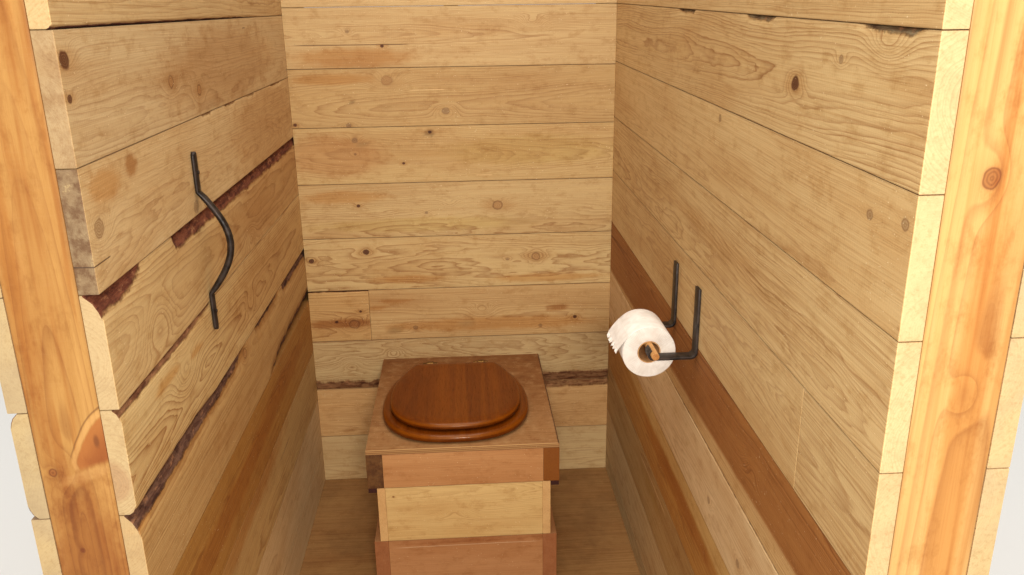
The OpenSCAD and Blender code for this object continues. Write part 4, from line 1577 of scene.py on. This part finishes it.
# %% Metal and small finishes
def plain_material(name, colour, other, scale, rough, metal=0.0, depth=0.0003, bump_scale=None):
    """A finish of two colours mixed by noise, with a bump of its own scale."""
    finish, tree = new_finish(name)
    place = add(tree, "TexCoord")["Object"]
    mottle = noise(place, scale, 4.0, 0.6)
    mixed = blend(fade(mottle, 0.35, 0.65), colour, other)
    dents = noise(place, bump_scale or scale, 3.0)
    return surface(finish, mixed, fade(mottle, 0.3, 0.7, *rough), (dents, 0.6, depth), {"Metallic": metal})


IRON_BLACK = paint(34, 27, 23)
IRON_WORN = paint(62, 50, 42)
iron = plain_material("forged_iron", IRON_BLACK, IRON_WORN, 60.0, (0.36, 0.62), 0.55, 0.0012, 90.0)
brass = plain_material("hinge_brass", paint(112, 80, 42), paint(78, 54, 28), 140.0, (0.34, 0.55), 1.0, 0.0001)
rubber = plain_material("foot_rubber", paint(70, 68, 64), paint(52, 50, 48), 300.0, (0.7, 0.85))
card = plain_material("core_card", paint(206, 156, 100), paint(188, 138, 84), 240.0, (0.8, 0.95))
refinish(brass, "hinge_posts", "ring_leaves", "lid_leaves")
refinish(rubber, "ring_feet", "lid_feet")
print("small finishes are ready")

# %% [markdown]
# ## The grab handle
# The handle was drawn out hot and bent over a horn, so nothing on it is quite flat. The
# packed bar is bevelled along its hard edges and subdivided without smoothing. Forge
# scale makes it a little fuller, and a cloud texture hammers it. A round-headed nail
# holds each flat end: a sphere, pressed flat and cut in half.

# %% Handle and straps
hammered = bpy.data.textures.new("hammered", "CLOUDS")
hammered.noise_scale = 0.012
NAIL_HEAD = 0.0036
NAIL_FROM_END = 0.033
FLAT_THICKNESS = 0.0056
FORGE_SCALE = 0.0013


def forge(node, name, depth):
    piece = copy_node(node, name)
    soften(piece, 0.0010, degrees=35)
    finer = piece.modifiers.new("finer", "SUBSURF")
    finer.subdivision_type = "SIMPLE"
    finer.levels = 1
    finer.render_levels = 1
    fuller = piece.modifiers.new("fuller", "DISPLACE")
    fuller.mid_level = 0.0
    fuller.strength = FORGE_SCALE
    marks = piece.modifiers.new("marks", "DISPLACE")
    marks.texture = hammered
    marks.texture_coords = "LOCAL"
    marks.strength = depth
    apply_all(piece)
    smooth_up_to(60)
    return piece


def nail_head(name, place):
    """A domed nail head on a face that looks along positive X."""
    bpy.ops.mesh.primitive_uv_sphere_add(segments=20, ring_count=12, radius=NAIL_HEAD)
    piece = bpy.context.object
    piece.name = name
    with editing(piece):
        bpy.ops.mesh.bisect(plane_co=(0, 0, 0), plane_no=(1, 0, 0), use_fill=True, clear_inner=True)
        bpy.ops.mesh.select_all(action="SELECT")
        bpy.ops.transform.resize(value=(0.45, 1, 1))
        bpy.ops.transform.translate(value=place)
    smooth_up_to(60)
    return piece


handle = forge("grab_handle", "grab_handle_forged", 0.0008)
handle_low, handle_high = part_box("grab_handle")
flat_x = left_x + FLAT_THICKNESS + FORGE_SCALE
handle_y = (handle_low.y + handle_high.y) / 2
low_nail = nail_head("handle_nail_low", (flat_x, handle_y, handle_low.z + NAIL_FROM_END))
high_nail = nail_head("handle_nail_high", (flat_x, handle_y, handle_high.z - NAIL_FROM_END))
handle = join([handle, low_nail, high_nail], "grab_handle_forged")
fit(handle, ["grab_handle"], iron)
for node in ("holder_strap_near", "holder_strap_far"):
    strap = copy_node(node, node + "_forged")
    soften(strap, 0.0008)
    fit(strap, [node], iron)
print("ironwork is forged")

# %% [markdown]
# ## The paper roll
# The roll's end shows the winding as fine circles, read from the distance to its middle
# line. The last sheet was torn off, and a ragged fringe of it stands off the roll: a row
# of short edges is extruded in steps, each a little further from the round, and the last
# row is pulled uneven, as torn paper is.

# %% Roll material
WINDING = 0.0011


def paper_material(centre):
    finish, tree = new_finish("roll_paper")
    coordinates = add(tree, "TexCoord")
    place = coordinates["Object"]
    x, _, z = split(place - centre)
    soft = noise(place, 60.0, 4.0)
    end = fade(abs(split(coordinates["Normal"])[1]), 0.7, 0.9)
    turns = soft * 1.6 + distance(x, z) / WINDING
    lines = fade(calc("PINGPONG", turns, 1.0), 0.15, 0.85) * end
    colour = blend(fade(soft, 0.35, 0.65), paint(240, 232, 222), paint(228, 218, 206))
    colour = tint(lines * 0.8, colour, paint(220, 208, 196))
    height = lines * 0.8 + noise(place, 150.0)
    return surface(finish, colour, 0.95, (height, 0.5, 0.0006))


# %% Torn fringe
FRINGE_STEPS = ((140, 0.0504), (152, 0.0520), (163, 0.0550), (173, 0.0590), (181, 0.0630))
FRINGE_EDGES = 34
PAPER_THICKNESS = 0.0005


def torn_fringe(name, centre, near, far):
    """The loose end of the paper: degrees round the roll and distances from its middle."""
    rng = random.Random(61)

    def round_place(degrees, reach):
        turn = math.radians(degrees)
        return Vector((centre.x + reach * math.cos(turn), 0.0, centre.z + reach * math.sin(turn)))

    last = round_place(*FRINGE_STEPS[0])
    bpy.ops.mesh.primitive_plane_add(size=1)
    piece = bpy.context.object
    piece.name = name
    step = (far - near - 0.002) / FRINGE_EDGES
    with editing(piece, "VERT"):
        bpy.ops.transform.translate(value=(last.x, near + 0.001, last.z))
        bpy.ops.mesh.merge(type="CENTER")
        for _ in range(FRINGE_EDGES):
            bpy.ops.mesh.extrude_vertices_move(TRANSFORM_OT_translate={"value": (0, step, 0)})
        bpy.ops.mesh.select_all(action="SELECT")
        for degrees, reach in FRINGE_STEPS[1:]:
            place = round_place(degrees, reach)
            bpy.ops.mesh.extrude_region_move(TRANSFORM_OT_translate={"value": place - last})
            last = place
    for v in piece.data.vertices:
        if (v.co - last).xz.length < 0.0005:
            pull = rng.uniform(-0.004, 0.005)
            v.co += Vector((rng.uniform(-0.002, 0.003), 0, pull))
    thick = piece.modifiers.new("thickness", "SOLIDIFY")
    thick.thickness = PAPER_THICKNESS
    thick.offset = 0.0
    apply_all(piece)
    with editing(piece, "EDGE"):
        bpy.ops.mesh.normals_make_consistent(inside=False)
    print("fringe has", len(piece.data.polygons), "faces")
    return piece


# %% Rod, roll and core
rod = copy_node("holder_rod", "holder_rod_turned")
soften(rod, 0.0015)
rod_wood = timber_material("rod_wood", "Y", paint(206, 156, 96), paint(190, 138, 80), (0.0, -0.85, -0.33))
fit(rod, ["holder_rod"], rod_wood)
roll_low, roll_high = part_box("paper_roll")
roll_centre = (roll_low + roll_high) / 2
roll = copy_node("paper_roll", "paper_roll_wound")
soften(roll, 0.001)
fringe = torn_fringe("roll_fringe", roll_centre, roll_low.y, roll_high.y)
roll = join([roll, fringe], "paper_roll_wound")
fit(roll, ["paper_roll"], paper_material(tuple(roll_centre)), body="roll")
refinish(card, "roll_core")
print("roll is in place")

# %% Finish
size = {"cad": [list(c) for c in cad_box], "visual": [list(c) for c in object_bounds()]}
